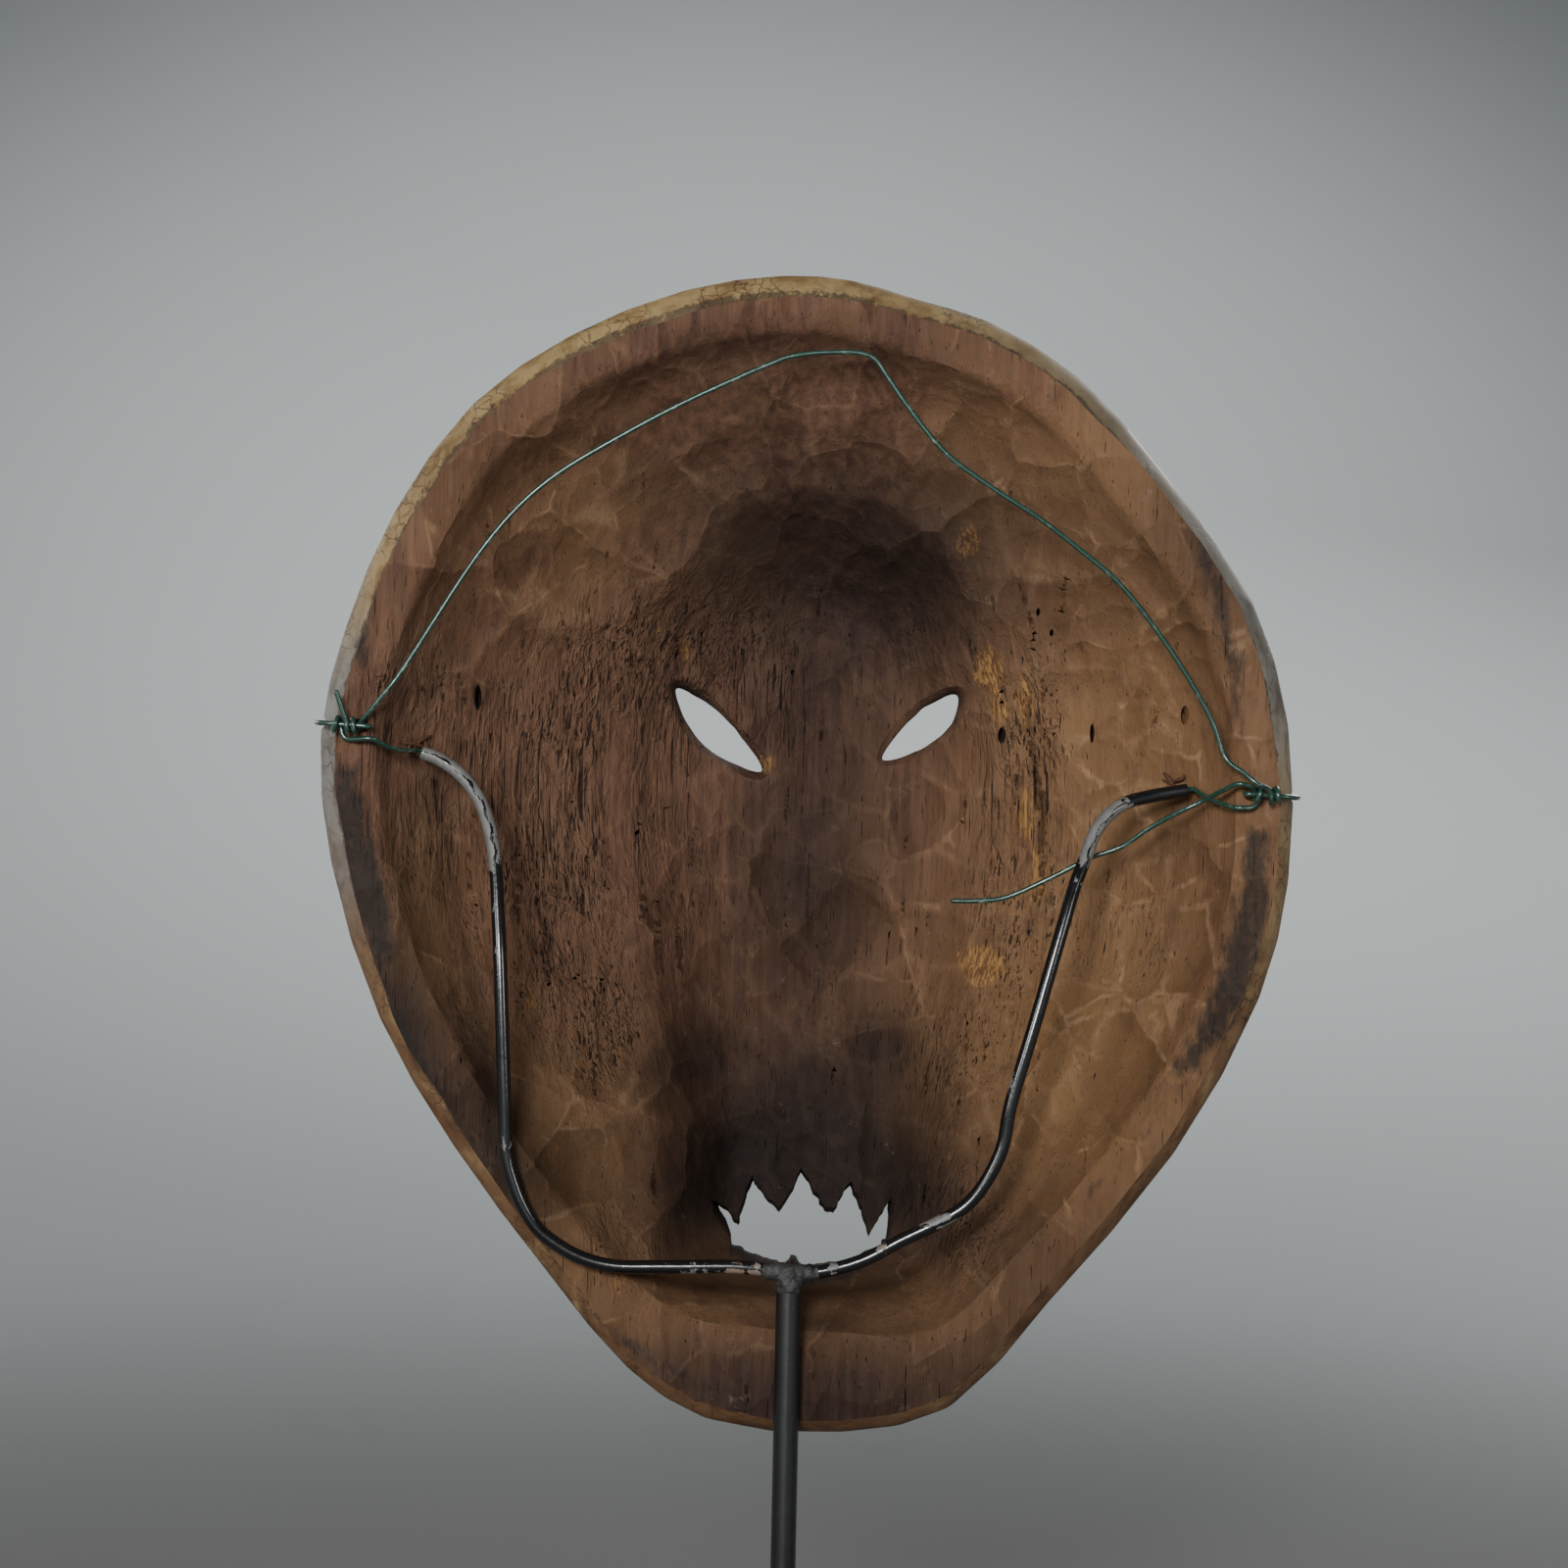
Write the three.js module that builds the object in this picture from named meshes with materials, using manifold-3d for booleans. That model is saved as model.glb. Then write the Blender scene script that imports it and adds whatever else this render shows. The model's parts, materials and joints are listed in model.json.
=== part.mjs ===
// Carved wooden folk mask with its hanging wire, tied with wire to the black steel stand that shows it.
// Millimetres, +Z up. The face looks along -Y and the hollow back along +Y.
// Origin: the middle of the felt pad's underside, on the post's axis.
import * as THREE from 'three';
import { mergeVertices } from 'three/addons/utils/BufferGeometryUtils.js';
import Module from 'manifold-3d';

const wasm = await Module();
wasm.setup();

// ---------------------------------------------------------------- driving dimensions

// Clearances
const SEAT_GAP = 0.3; // between pieces that touch
const WIRE_GAP = 0.42; // between a wire and the wire or bore around it
const TIP_GAP = 1.1; // from an arm's tip to the hollow, measured along Y
const POST_GAP = 0.3; // from the post to the chin's rim

// Stand
const BASE_SIDE = 120;
const BASE_THICK = 8;
const BASE_CORNER = 7;
const BASE_CHAMFER = 0.8;
const FELT_THICK = 2;
const FELT_INSET = 1;
const POST_DIAMETER = 6.4;
const POST_CHAMFER = 0.8;
const ARM_DIAMETER = 3.5;
const ARM_RIM_GAP = 1.75; // from an arm to the rim that it crosses
const WELD_DIAMETER = 7.4;
const WELD_HEIGHT = 6.5;
const SCREW_DIAMETER = 3.8;
const SCREW_LENGTH = 22;
const SCREW_HEAD_DIAMETER = 7.6;
const SCREW_HEAD_HEIGHT = 2.4;
const SCREW_SLOT_WIDTH = 1;
const SCREW_SLOT_DEPTH = 1.1;

// Wires
const WIRE_DIAMETER = 1.3;
const TIE_IN_TIP = 2.4; // how far a tie wire reaches into an arm's tip
const KNOT_INSET = 8.8; // from the mask's outline to the middle of a knot
const COIL_PITCH = 1.75; // along the axis, for one turn
const RIM_HOLE_DIAMETER = 3.7;
const TAIL_LENGTH_UP = 8; // free end of the hanging wire at the left knot

// Mask
const MASK_WIDTH = 250;
const MASK_HEIGHT = 296.5;
const CHIN_HEIGHT = 105; // lowest point of the mask above the table
const RIM_WIDTH = 10.5; // flat face round the hollow
const BEVEL_WIDTH = 4.5;
const BEVEL_DEPTH = 6;
const SIDE_DEPTH = 15; // from the rim face to where the front starts to curve
const CHIN_RIM_EXTRA = 12; // more width of rim across the chin
const HOLLOW_DEPTH = 64;
const TROUGH_STEP = 5; // how much deeper than the bowl the flat cut behind the eyes, nose and mouth goes
const TROUGH_LIFT = 13; // how much shallower that cut is at the mouth
const VALLEY_DEPTH = 5; // the groove behind the nose
const WALL = 14; // between the deepest hollow and the front, without nose and brows
const THINNEST_WALL = 7.5; // measured along Y
const NOSE_HEIGHT = 21;
const BROW_HEIGHT = 9;
const LIP_HEIGHT = 5;
const MUZZLE_HEIGHT = 21;
const CHEEK_HEIGHT = 8;
const CHIN_RELIEF = 7;
const SOCKET_RELIEF = 3;

// Where things lie on the mask: [across, up], shares of half the width from the post's axis and of the height
// from the chin.
const OUTLINE = [
  [0.053, 1], [-0.087, 0.997], [-0.228, 0.981], [-0.369, 0.964], [-0.558, 0.917], [-0.735, 0.836],
  [-0.921, 0.728], [-1.002, 0.62], [-1.009, 0.485], [-0.954, 0.383], [-0.785, 0.247], [-0.53, 0.114],
  [-0.335, 0.023], [-0.117, 0], [0.164, 0.009], [0.326, 0.051], [0.49, 0.13], [0.696, 0.242],
  [0.851, 0.35], [0.958, 0.484], [0.985, 0.594], [0.938, 0.687], [0.842, 0.789], [0.687, 0.883],
  [0.49, 0.944], [0.252, 0.986],
];
const MIDDLE = [-0.016, 0.53];
const NOSE_LINE = -0.032; // across
const LEFT_EYE = [0.178, 0.607];
const RIGHT_EYE = [-0.264, 0.613];
const MOUTH = [-0.027, 0.154];
const NOSE_TIP_UP = 0.385;
const BRIDGE_UP = 0.63;
const TROUGH_TOP_UP = 0.79;
const TROUGH_DEEPEST_UP = 0.6;
const TROUGH_FOOT_UP = 0.12;
const TROUGH_HALF_WIDTH = 0.33;
const TROUGH_FOOT_HALF_WIDTH = 0.25;
const MUZZLE_UP = 0.2;
const CHEEK = [0.4, 0.43];
const WELD_UP = 0.129;

// The openings' edges in mm from their middles, as seen from the front: +X right, +Z up.
const LEFT_EYE_EDGE = [[12, 11.6], [4, 8.3], [-4.3, 1.2], [-12, -10.4], [-3.2, -8.1], [4.6, -3], [9.6, 4.3]];
const RIGHT_EYE_EDGE = [[-10.1, 9.6], [-8.5, 1.4], [0.2, -5.8], [9.8, -8.4], [7.6, -3.6], [-0.7, 5.5]];
const UPPER_TEETH = [
  [23.9, 5.9], [19.9, 3.4], [17.3, -0.5], [15.8, 4.9], [13.5, 11.9], [10.6, 7.3], [5.9, 3.2], [0.3, 14],
  [-3.9, 7.4], [-6.2, 3.7], [-8.8, 3.6], [-12.8, 10.9], [-16, 4.9], [-18.3, -2.3], [-22.2, 4.5], [-23.9, 7.3],
];
const LOWER_LIP = [
  [-23, -2.9], [-21.3, -4.5], [-12.7, -8.5], [-0.9, -9.8], [1, -8.1], [2.6, -7.5], [4.3, -9.4], [12.5, -7.5],
  [18.6, -4.7], [21, 1.1],
];

// Arm routes: [across, up, share of the way from the rim's height down to the tip's].
const LEFT_ARM = [
  [0.09, 0.145, 0], [0.25, 0.144, 0], [0.36, 0.144, 0], [0.42, 0.15, 0], [0.468, 0.16, 0],
  [0.512, 0.174, 0], [0.543, 0.193, 0], [0.564, 0.214, 0], [0.578, 0.235, 0], [0.586, 0.286, 0],
  [0.602, 0.403, 0.14], [0.61, 0.445, 0.3], [0.62, 0.487, 0.5], [0.635, 0.517, 0.66], [0.66, 0.542, 0.8],
  [0.702, 0.563, 0.92], [0.745, 0.575, 0.98], [0.782, 0.581, 1],
];
const RIGHT_ARM = [
  [-0.07, 0.143, 0], [-0.149, 0.153, 0], [-0.228, 0.171, 0], [-0.307, 0.188, 0],
  [-0.357, 0.202, 0], [-0.395, 0.222, 0], [-0.428, 0.252, 0], [-0.442, 0.286, 0], [-0.489, 0.358, 0.05],
  [-0.545, 0.443, 0.25], [-0.569, 0.477, 0.42], [-0.592, 0.502, 0.58], [-0.611, 0.523, 0.7],
  [-0.64, 0.539, 0.82], [-0.679, 0.55, 0.92], [-0.73, 0.556, 0.98], [-0.805, 0.562, 1],
];

// Hanging wire: from the left knot over the top to the right knot, [across, up].
const HANGER = [
  [0.854, 0.627], [0.806, 0.654], [0.758, 0.688], [0.709, 0.722], [0.642, 0.767], [0.563, 0.804],
  [0.494, 0.8265], [0.421, 0.8445], [0.346, 0.8635], [0.247, 0.887], [0.148, 0.906], [0.069, 0.922],
  [0.019, 0.928], [-0.05, 0.931], [-0.11, 0.9305], [-0.135, 0.926], [-0.162, 0.911], [-0.203, 0.887],
  [-0.254, 0.86], [-0.291, 0.844], [-0.336, 0.83], [-0.397, 0.813], [-0.478, 0.792], [-0.558, 0.767],
  [-0.64, 0.739], [-0.712, 0.703], [-0.784, 0.66], [-0.836, 0.622], [-0.868, 0.589],
];
const LEFT_KNOT_UP = 0.604;
const RIGHT_KNOT_UP = 0.556;

// ---------------------------------------------------------------- sizes that follow

const WIRE_RADIUS = WIRE_DIAMETER / 2;
const ARM_RADIUS = ARM_DIAMETER / 2;
const COIL_RADIUS = WIRE_DIAMETER + WIRE_GAP; // middle of a wire that is wound on a wire
const PLATE_BOTTOM = FELT_THICK + SEAT_GAP;
const PLATE_TOP = PLATE_BOTTOM + BASE_THICK;
const RIM_Y = -POST_DIAMETER / 2 - POST_GAP; // the rim's flat face
const ARM_Y = RIM_Y + ARM_RIM_GAP + ARM_RADIUS;
const KNOT_Y = RIM_Y + COIL_RADIUS + WIRE_RADIUS + WIRE_GAP; // the hanging wire's hinge line
const FRONT_DEPTH = HOLLOW_DEPTH + TROUGH_STEP + WALL;

const across = (u) => (u * MASK_WIDTH) / 2;
const up = (v) => CHIN_HEIGHT + v * MASK_HEIGHT;
const on = ([u, v]) => new THREE.Vector2(across(u), up(v));
const POST_TOP = up(WELD_UP) - SEAT_GAP;
const middle = on(MIDDLE);

// ---------------------------------------------------------------- the mask's shape

// The outline as a closed curve, and its distance from the middle in any direction.
const outlineCurve = new THREE.CatmullRomCurve3(
  OUTLINE.map(([u, v]) => new THREE.Vector3(across(u), up(v), 0)), true, 'centripetal',
);
const outlineRadii = outlineCurve.getPoints(720).map((p) => ({
  turn: Math.atan2(p.y - middle.y, p.x - middle.x),
  radius: Math.hypot(p.x - middle.x, p.y - middle.y),
})).sort((a, b) => a.turn - b.turn);

function outlineRadius(turn) {
  const after = outlineRadii.findIndex((sample) => sample.turn > turn);
  const next = outlineRadii[after < 0 ? 0 : after];
  const last = outlineRadii[after <= 0 ? outlineRadii.length - 1 : after - 1];
  const step = THREE.MathUtils.euclideanModulo(next.turn - last.turn, 2 * Math.PI) || 1;
  const into = THREE.MathUtils.euclideanModulo(turn - last.turn, 2 * Math.PI);
  return THREE.MathUtils.lerp(last.radius, next.radius, into / step);
}

const bump = (x, z, [cx, cz], wide, high) => Math.exp(-(((x - cx) / wide) ** 2) - ((z - cz) / high) ** 2);
const rise = (from, to, t) => THREE.MathUtils.smoothstep(t, Math.min(from, to), Math.max(from, to)); // 0 to 1

// From the middle to where the rim's flat face ends and the hollow starts. The rim is wider across the chin.
function hollowRadius(turn) {
  const chinward = Math.exp(-(((turn + Math.PI / 2) / 0.32) ** 2));
  return outlineRadius(turn) - BEVEL_WIDTH - RIM_WIDTH - CHIN_RIM_EXTRA * chinward;
}

// Depth of the hollow below the rim's face: a bowl with a flat-bottomed trough and a groove behind the nose.
function hollowDepth(x, z) {
  const turn = Math.atan2(z - middle.y, x - middle.x);
  const share = Math.hypot(x - middle.x, z - middle.y) / hollowRadius(turn);
  if (share >= 1) return 0;
  const bowl = HOLLOW_DEPTH * (1 - share ** 2) ** 0.85;
  const side = Math.abs(x - across(NOSE_LINE));
  const down = rise(up(TROUGH_DEEPEST_UP), up(TROUGH_FOOT_UP), z);
  const half = THREE.MathUtils.lerp(across(TROUGH_FOOT_HALF_WIDTH), across(TROUGH_HALF_WIDTH), down);
  const sides = 1 - rise(0.65 * half, 1.25 * half, side);
  const head = 1 - rise(up(TROUGH_TOP_UP - 0.05), up(TROUGH_TOP_UP + 0.03), z);
  const window = sides * head * rise(up(TROUGH_FOOT_UP - 0.015), up(TROUGH_FOOT_UP + 0.03), z);
  const away = (z - up(TROUGH_DEEPEST_UP)) / (up(TROUGH_DEEPEST_UP) - up(TROUGH_FOOT_UP));
  const floor = HOLLOW_DEPTH + TROUGH_STEP - TROUGH_LIFT * away ** 2;
  const valleyEnds = (1 - rise(up(0.64), up(0.74), z)) * rise(up(0.24), up(0.36), z);
  const valley = Math.max(0, 1 - side / across(0.2)) * valleyEnds;
  return bowl + Math.max(0, floor - bowl) * window + VALLEY_DEPTH * valley;
}

// Height of the front above the rim's face: a dome with brows, nose, cheeks, lips and chin.
function frontDepth(x, z) {
  const turn = Math.atan2(z - middle.y, x - middle.x);
  const share = Math.min(1, Math.hypot(x - middle.x, z - middle.y) / outlineRadius(turn));
  const dome = SIDE_DEPTH + (FRONT_DEPTH - SIDE_DEPTH) * (1 - share ** 2) ** 0.9;
  const side = Math.abs(x - across(NOSE_LINE));
  const downNose = (up(BRIDGE_UP) - z) / (up(BRIDGE_UP) - up(NOSE_TIP_UP));
  const noseHalf = 11 + 9 * THREE.MathUtils.clamp(downNose, 0, 1);
  const noseEnds = rise(-0.3, 1, downNose) * (1 - rise(1.02, 1.18, downNose));
  const nose = Math.exp(-((side / noseHalf) ** 3)) * noseEnds;
  const browLine = up(BRIDGE_UP) + 0.32 * side - 0.0022 * side ** 2;
  const brow = Math.exp(-(((z - browLine) / 8) ** 2)) * (1 - rise(46, 66, side));
  const [mouthX, mouthZ] = on(MOUTH).toArray();
  const ring = Math.hypot((x - mouthX) / 34, (z - mouthZ - 1) / 20);
  const lips = Math.exp(-(((ring - 1) / 0.32) ** 2));
  const muzzle = Math.exp(-((Math.hypot((x - mouthX) / 46, (z - up(MUZZLE_UP)) / 38)) ** 3));
  const cheeks = bump(side, z, on(CHEEK).toArray(), 24, 26);
  const chin = bump(x, z, [mouthX, up(0.045)], 24, 12);
  const sockets = bump(x, z, on(LEFT_EYE).toArray(), 17, 12) + bump(x, z, on(RIGHT_EYE).toArray(), 17, 12);
  const fade = 1 - rise(0.86, 1, share);
  const features = NOSE_HEIGHT * nose + BROW_HEIGHT * brow + MUZZLE_HEIGHT * muzzle + LIP_HEIGHT * lips
    + CHEEK_HEIGHT * cheeks + CHIN_RELIEF * chin - SOCKET_RELIEF * sockets;
  return Math.max(dome + fade * features, hollowDepth(x, z) + THINNEST_WALL);
}

// Y of the wood that a wire on the back lies over.
const backY = (x, z) => RIM_Y - hollowDepth(x, z);

// ---------------------------------------------------------------- helpers for solids

function toSolid(geometry) {
  const plain = geometry.clone();
  for (const name of ['normal', 'uv']) plain.deleteAttribute(name);
  const merged = mergeVertices(plain, 1e-4);
  return new wasm.Manifold(new wasm.Mesh({
    numProp: 3,
    vertProperties: merged.attributes.position.array,
    triVerts: new Uint32Array(merged.index.array),
  }));
}

function toGeometry(solid) {
  const mesh = solid.getMesh();
  const geometry = new THREE.BufferGeometry();
  geometry.setAttribute('position', new THREE.BufferAttribute(new Float32Array(mesh.vertProperties), 3));
  geometry.setIndex(new THREE.BufferAttribute(new Uint32Array(mesh.triVerts), 1));
  geometry.computeVertexNormals();
  return geometry;
}

const cut = (geometry, ...tools) => toGeometry(
  tools.reduce((solid, tool) => solid.subtract(toSolid(tool)), toSolid(geometry)),
);

// A curve whose sections stand at its own points, so tight turns get as many as they need.
class WireCurve extends THREE.CatmullRomCurve3 {
  getPointAt(t, target) { return this.getPoint(t, target); }
  getTangentAt(t, target) { return this.getTangent(t, target); }
  getSpacedPoints(count) { return this.getPoints(count); }
}

function roundSection(radius, sides) {
  const section = new THREE.Shape();
  for (let i = 0; i < sides; i += 1) {
    const turn = (i / sides) * 2 * Math.PI;
    section[i ? 'lineTo' : 'moveTo'](radius * Math.cos(turn), radius * Math.sin(turn));
  }
  section.closePath();
  return section;
}

function rod(points, radius, sides, stepsPerPoint = 1) {
  const path = new WireCurve(points, false, 'centripetal');
  return new THREE.ExtrudeGeometry(roundSection(radius, sides), {
    steps: (points.length - 1) * stepsPerPoint, extrudePath: path, bevelEnabled: false,
  });
}

// A turned piece on the Z axis from [radius, z] points, from the lower end of the axis to the upper.
const turned = (profile, sides) => new THREE.LatheGeometry(
  profile.map(([radius, z]) => new THREE.Vector2(radius, z)), sides,
).rotateX(Math.PI / 2);

function roundedSquare(side, corner) {
  const half = side / 2;
  const shape = new THREE.Shape();
  shape.moveTo(half - corner, -half);
  shape.absarc(half - corner, -half + corner, corner, -Math.PI / 2, 0);
  shape.absarc(half - corner, half - corner, corner, 0, Math.PI / 2);
  shape.absarc(-half + corner, half - corner, corner, Math.PI / 2, Math.PI);
  shape.absarc(-half + corner, -half + corner, corner, Math.PI, 1.5 * Math.PI);
  return shape;
}

// A prism along Y through the whole mask, from an edge in mm about the middle of an opening.
function through(edge, [x, z]) {
  const shape = new THREE.Shape(edge.map(([dx, dz]) => new THREE.Vector2(dx, dz)));
  const reach = 2 * FRONT_DEPTH;
  return new THREE.ExtrudeGeometry(shape, { depth: 2 * reach, bevelEnabled: false, curveSegments: 6 })
    .rotateX(Math.PI / 2).translate(x, reach, z);
}

const smoothEdge = (edge, count) => new THREE.CatmullRomCurve3(
  edge.map(([x, z]) => new THREE.Vector3(x, z, 0)), true, 'centripetal',
).getPoints(count).slice(0, -1).map((p) => [p.x, p.y]);

// ---------------------------------------------------------------- finishes

function finish(color, roughness, metalness) {
  return new THREE.MeshStandardMaterial({ color, roughness, metalness });
}
const wood = finish('#6b4c34', 0.85, 0);
const blackSteel = finish('#17171a', 0.4, 0.5);
const weldSteel = finish('#4a4a48', 0.6, 0.6);
const plainSteel = finish('#8d9094', 0.35, 1);
const feltCloth = finish('#20261f', 1, 0);
const coatedWire = finish('#1f4a3a', 0.4, 0);

const mask = new THREE.Group();
function add(name, geometry, material) {
  const mesh = new THREE.Mesh(geometry, material);
  mesh.name = name;
  mask.add(mesh);
}

// ---------------------------------------------------------------- stand

const corners = roundedSquare(BASE_SIDE - 2 * BASE_CHAMFER, BASE_CORNER - BASE_CHAMFER);
const plateBlank = new THREE.ExtrudeGeometry(corners, {
  depth: BASE_THICK - 2 * BASE_CHAMFER, curveSegments: 5,
  bevelThickness: BASE_CHAMFER, bevelSize: BASE_CHAMFER, bevelSegments: 1,
}).translate(0, 0, PLATE_BOTTOM + BASE_CHAMFER);

const SCREW_FOOT = PLATE_BOTTOM + SEAT_GAP; // the head lies this high, just inside its countersink
function screwProfile(grow) {
  const shank = SCREW_DIAMETER / 2 + grow;
  const head = SCREW_HEAD_DIAMETER / 2 + grow;
  const foot = SCREW_FOOT - 3 * grow;
  const top = SCREW_FOOT + SCREW_LENGTH + grow;
  return [
    [0, foot], [head, foot], [head, SCREW_FOOT],
    [shank, SCREW_FOOT + SCREW_HEAD_HEIGHT], [shank, top], [0, top],
  ];
}

function makeScrew() {
  const slot = new THREE.BoxGeometry(2 * SCREW_HEAD_DIAMETER, SCREW_SLOT_WIDTH, 2 * SCREW_SLOT_DEPTH)
    .translate(0, 0, SCREW_FOOT);
  return cut(turned(screwProfile(0), 20), slot);
}

// The post's rod; with grow, the space that it and its gap take.
function postRod(grow) {
  const foot = PLATE_TOP + SEAT_GAP - grow;
  const top = POST_TOP + grow;
  const radius = POST_DIAMETER / 2 + grow;
  const shoulder = top - POST_CHAMFER;
  return turned([[0, foot], [radius, foot], [radius, shoulder], [radius - POST_CHAMFER, top], [0, top]], 20);
}

// A blob of weld on the post's end, from its foot up as shares of its radius and height; with grow, the space
// that it and its gap take.
const WELD_PROFILE = [[0.8, 0], [1, 0.25], [0.96, 0.55], [0.62, 0.9]];
function weldBlob(grow) {
  const centre = POST_TOP + SEAT_GAP + WELD_HEIGHT / 2;
  const height = (share) => centre + (share - 0.5) * (WELD_HEIGHT + 2 * grow);
  const wall = WELD_PROFILE.map(([wide, high]) => [(wide * WELD_DIAMETER) / 2 + grow, height(high)]);
  return turned([[0, height(0)], ...wall, [0, height(1) + grow]], 16);
}

// Both arms start in the middle of the weld. The tips stand a little off the hollow's wall, at either end of
// the mask's tilting axis.
function armPoints(route) {
  const tip = on(route.at(-1));
  const tipY = backY(tip.x, tip.y) + ARM_RADIUS + TIP_GAP;
  return [weldMiddle, ...route.map(
    ([u, v, sink]) => new THREE.Vector3(across(u), THREE.MathUtils.lerp(ARM_Y, tipY, sink), up(v)),
  )];
}

const weldMiddle = new THREE.Vector3(0, ARM_Y, POST_TOP + SEAT_GAP + WELD_HEIGHT / 2);
const leftArmPoints = armPoints(LEFT_ARM);
const rightArmPoints = armPoints(RIGHT_ARM);
const endWay = (points) => points.at(-1).clone().sub(points.at(-2)).normalize();

function makeArm(points) {
  const tip = points.at(-1);
  const way = endWay(points);
  const bore = [-TIE_IN_TIP - 2 * WIRE_GAP, 2].map((along) => tip.clone().addScaledVector(way, along));
  const tools = [weldBlob(SEAT_GAP), postRod(SEAT_GAP), rod(bore, WIRE_RADIUS + WIRE_GAP, 10)];
  return cut(rod(points, ARM_RADIUS, 12, 2), ...tools);
}

const feltOutline = roundedSquare(BASE_SIDE - 2 * FELT_INSET, BASE_CORNER - FELT_INSET);
add('felt_pad', new THREE.ExtrudeGeometry(feltOutline, {
  depth: FELT_THICK, bevelEnabled: false, curveSegments: 5,
}), feltCloth);
add('base_plate', cut(plateBlank, turned(screwProfile(SEAT_GAP), 20)), blackSteel);
add('base_screw', makeScrew(), plainSteel);
add('post', cut(postRod(0), turned(screwProfile(SEAT_GAP), 20)), blackSteel);
add('weld_bead', weldBlob(0), weldSteel);
add('left_arm', makeArm(leftArmPoints), blackSteel);
add('right_arm', makeArm(rightArmPoints), blackSteel);

// ---------------------------------------------------------------- knots at the rim

// Each knot has a frame: a point on the hanging wire's hinge line, and the way outwards along that line.
function outlineAt(side, v) {
  const near = outlineCurve.getPoints(720).filter((p) => Math.sign(p.x) === side);
  return near.reduce((best, p) => (Math.abs(p.y - up(v)) < Math.abs(best.y - up(v)) ? p : best));
}
const leftEdge = outlineAt(1, LEFT_KNOT_UP);
const rightEdge = outlineAt(-1, RIGHT_KNOT_UP);
const hingeWay = new THREE.Vector3(leftEdge.x - rightEdge.x, 0, leftEdge.y - rightEdge.y).normalize();
const Y_WAY = new THREE.Vector3(0, 1, 0);
const upWay = Y_WAY.clone().cross(hingeWay).negate();

function knotFrame(edge, side) {
  const out = hingeWay.clone().multiplyScalar(side);
  const place = new THREE.Vector3(edge.x, KNOT_Y, edge.y).addScaledVector(out, -KNOT_INSET);
  return (outwards, y, z = 0) => place.clone().addScaledVector(out, outwards).addScaledVector(Y_WAY, y)
    .addScaledVector(upWay, z);
}
const leftKnot = knotFrame(leftEdge, 1);
const rightKnot = knotFrame(rightEdge, -1);

// Turns round the hinge line. Angle 0 is above it and 90 degrees is behind it, away from the rim.
function coil(knot, outwards, fromDegrees, toDegrees, pitch) {
  const steps = Math.ceil(Math.abs(toDegrees - fromDegrees) / 36);
  return Array.from({ length: steps + 1 }, (_, i) => {
    const turn = THREE.MathUtils.degToRad(THREE.MathUtils.lerp(fromDegrees, toDegrees, i / steps));
    const along = outwards + (pitch * Math.abs(toDegrees - fromDegrees) * i) / steps / 360;
    return knot(along, COIL_RADIUS * Math.sin(turn), COIL_RADIUS * Math.cos(turn));
  });
}

// The rim hole runs from the back face to the side; both ends in the knot's frame [outwards, Y].
const faceY = RIM_Y - KNOT_Y;
const HOLE_INNER = [KNOT_INSET - BEVEL_WIDTH - 0.72 * RIM_WIDTH, faceY];
const HOLE_OUTER = [KNOT_INSET, faceY - BEVEL_DEPTH - 1.4];

function rimHole(knot) {
  const inner = knot(...HOLE_INNER);
  const outer = knot(...HOLE_OUTER);
  const way = outer.clone().sub(inner).normalize();
  return rod([inner.addScaledVector(way, -6), outer.addScaledVector(way, 6)], RIM_HOLE_DIAMETER / 2, 12);
}

// A closed loop: along the hinge line, round the rim's edge and back through the hole.
function rimLoop(knot) {
  const clear = WIRE_RADIUS + WIRE_GAP;
  const bend = WIRE_DIAMETER + 0.1;
  const share = (t) => HOLE_INNER.map((value, i) => THREE.MathUtils.lerp(value, HOLE_OUTER[i], t));
  const backEdge = KNOT_INSET - BEVEL_WIDTH;
  const points = [
    [HOLE_INNER[0] + 0.4, 0], [-1, 0], [1, 0], [backEdge - 1, 0], [backEdge + 1, 0], [backEdge + 2.9, -0.8],
    [KNOT_INSET, faceY + 0.2], [KNOT_INSET + 0.8 * clear, faceY - 0.5 * BEVEL_DEPTH],
    [KNOT_INSET + clear, faceY - BEVEL_DEPTH + 0.6], [KNOT_INSET + clear, HOLE_OUTER[1] - 0.1],
    [KNOT_INSET + 0.2, HOLE_OUTER[1] - 0.75], share(0.88), share(0.7), share(0.45), share(0.2), share(0.02),
    [HOLE_INNER[0] - 0.62 * bend, -1.25 * bend], [HOLE_INNER[0] - 0.9 * bend, -0.6 * bend],
    [HOLE_INNER[0] - 0.45 * bend, -0.1 * bend],
  ].map(([outwards, y]) => knot(outwards, y));
  const path = new WireCurve(points, true, 'centripetal');
  return new THREE.TubeGeometry(path, 2 * points.length, WIRE_RADIUS, 8, true);
}

// ---------------------------------------------------------------- hanging wire and ties

function makeHanger() {
  const level = (u, v) => new THREE.Vector3(across(u), KNOT_Y, up(v));
  const tail = [leftKnot(4.2, COIL_RADIUS + 0.9, TAIL_LENGTH_UP), leftKnot(2.3, COIL_RADIUS + 0.5, 3.2)];
  const start = coil(leftKnot, 1.3, 75, 630, -COIL_PITCH);
  const overTie = [rightKnot(-6, 2.2, 5.4), rightKnot(-2, 3.6, 2.6), rightKnot(0.6, 2.4, 1.6)];
  const end = coil(rightKnot, 1.6, 80, 480, COIL_PITCH);
  const span = HANGER.map(([u, v]) => level(u, v));
  return rod([...tail, ...start, ...span, ...overTie, ...end], WIRE_RADIUS, 8);
}

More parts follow.
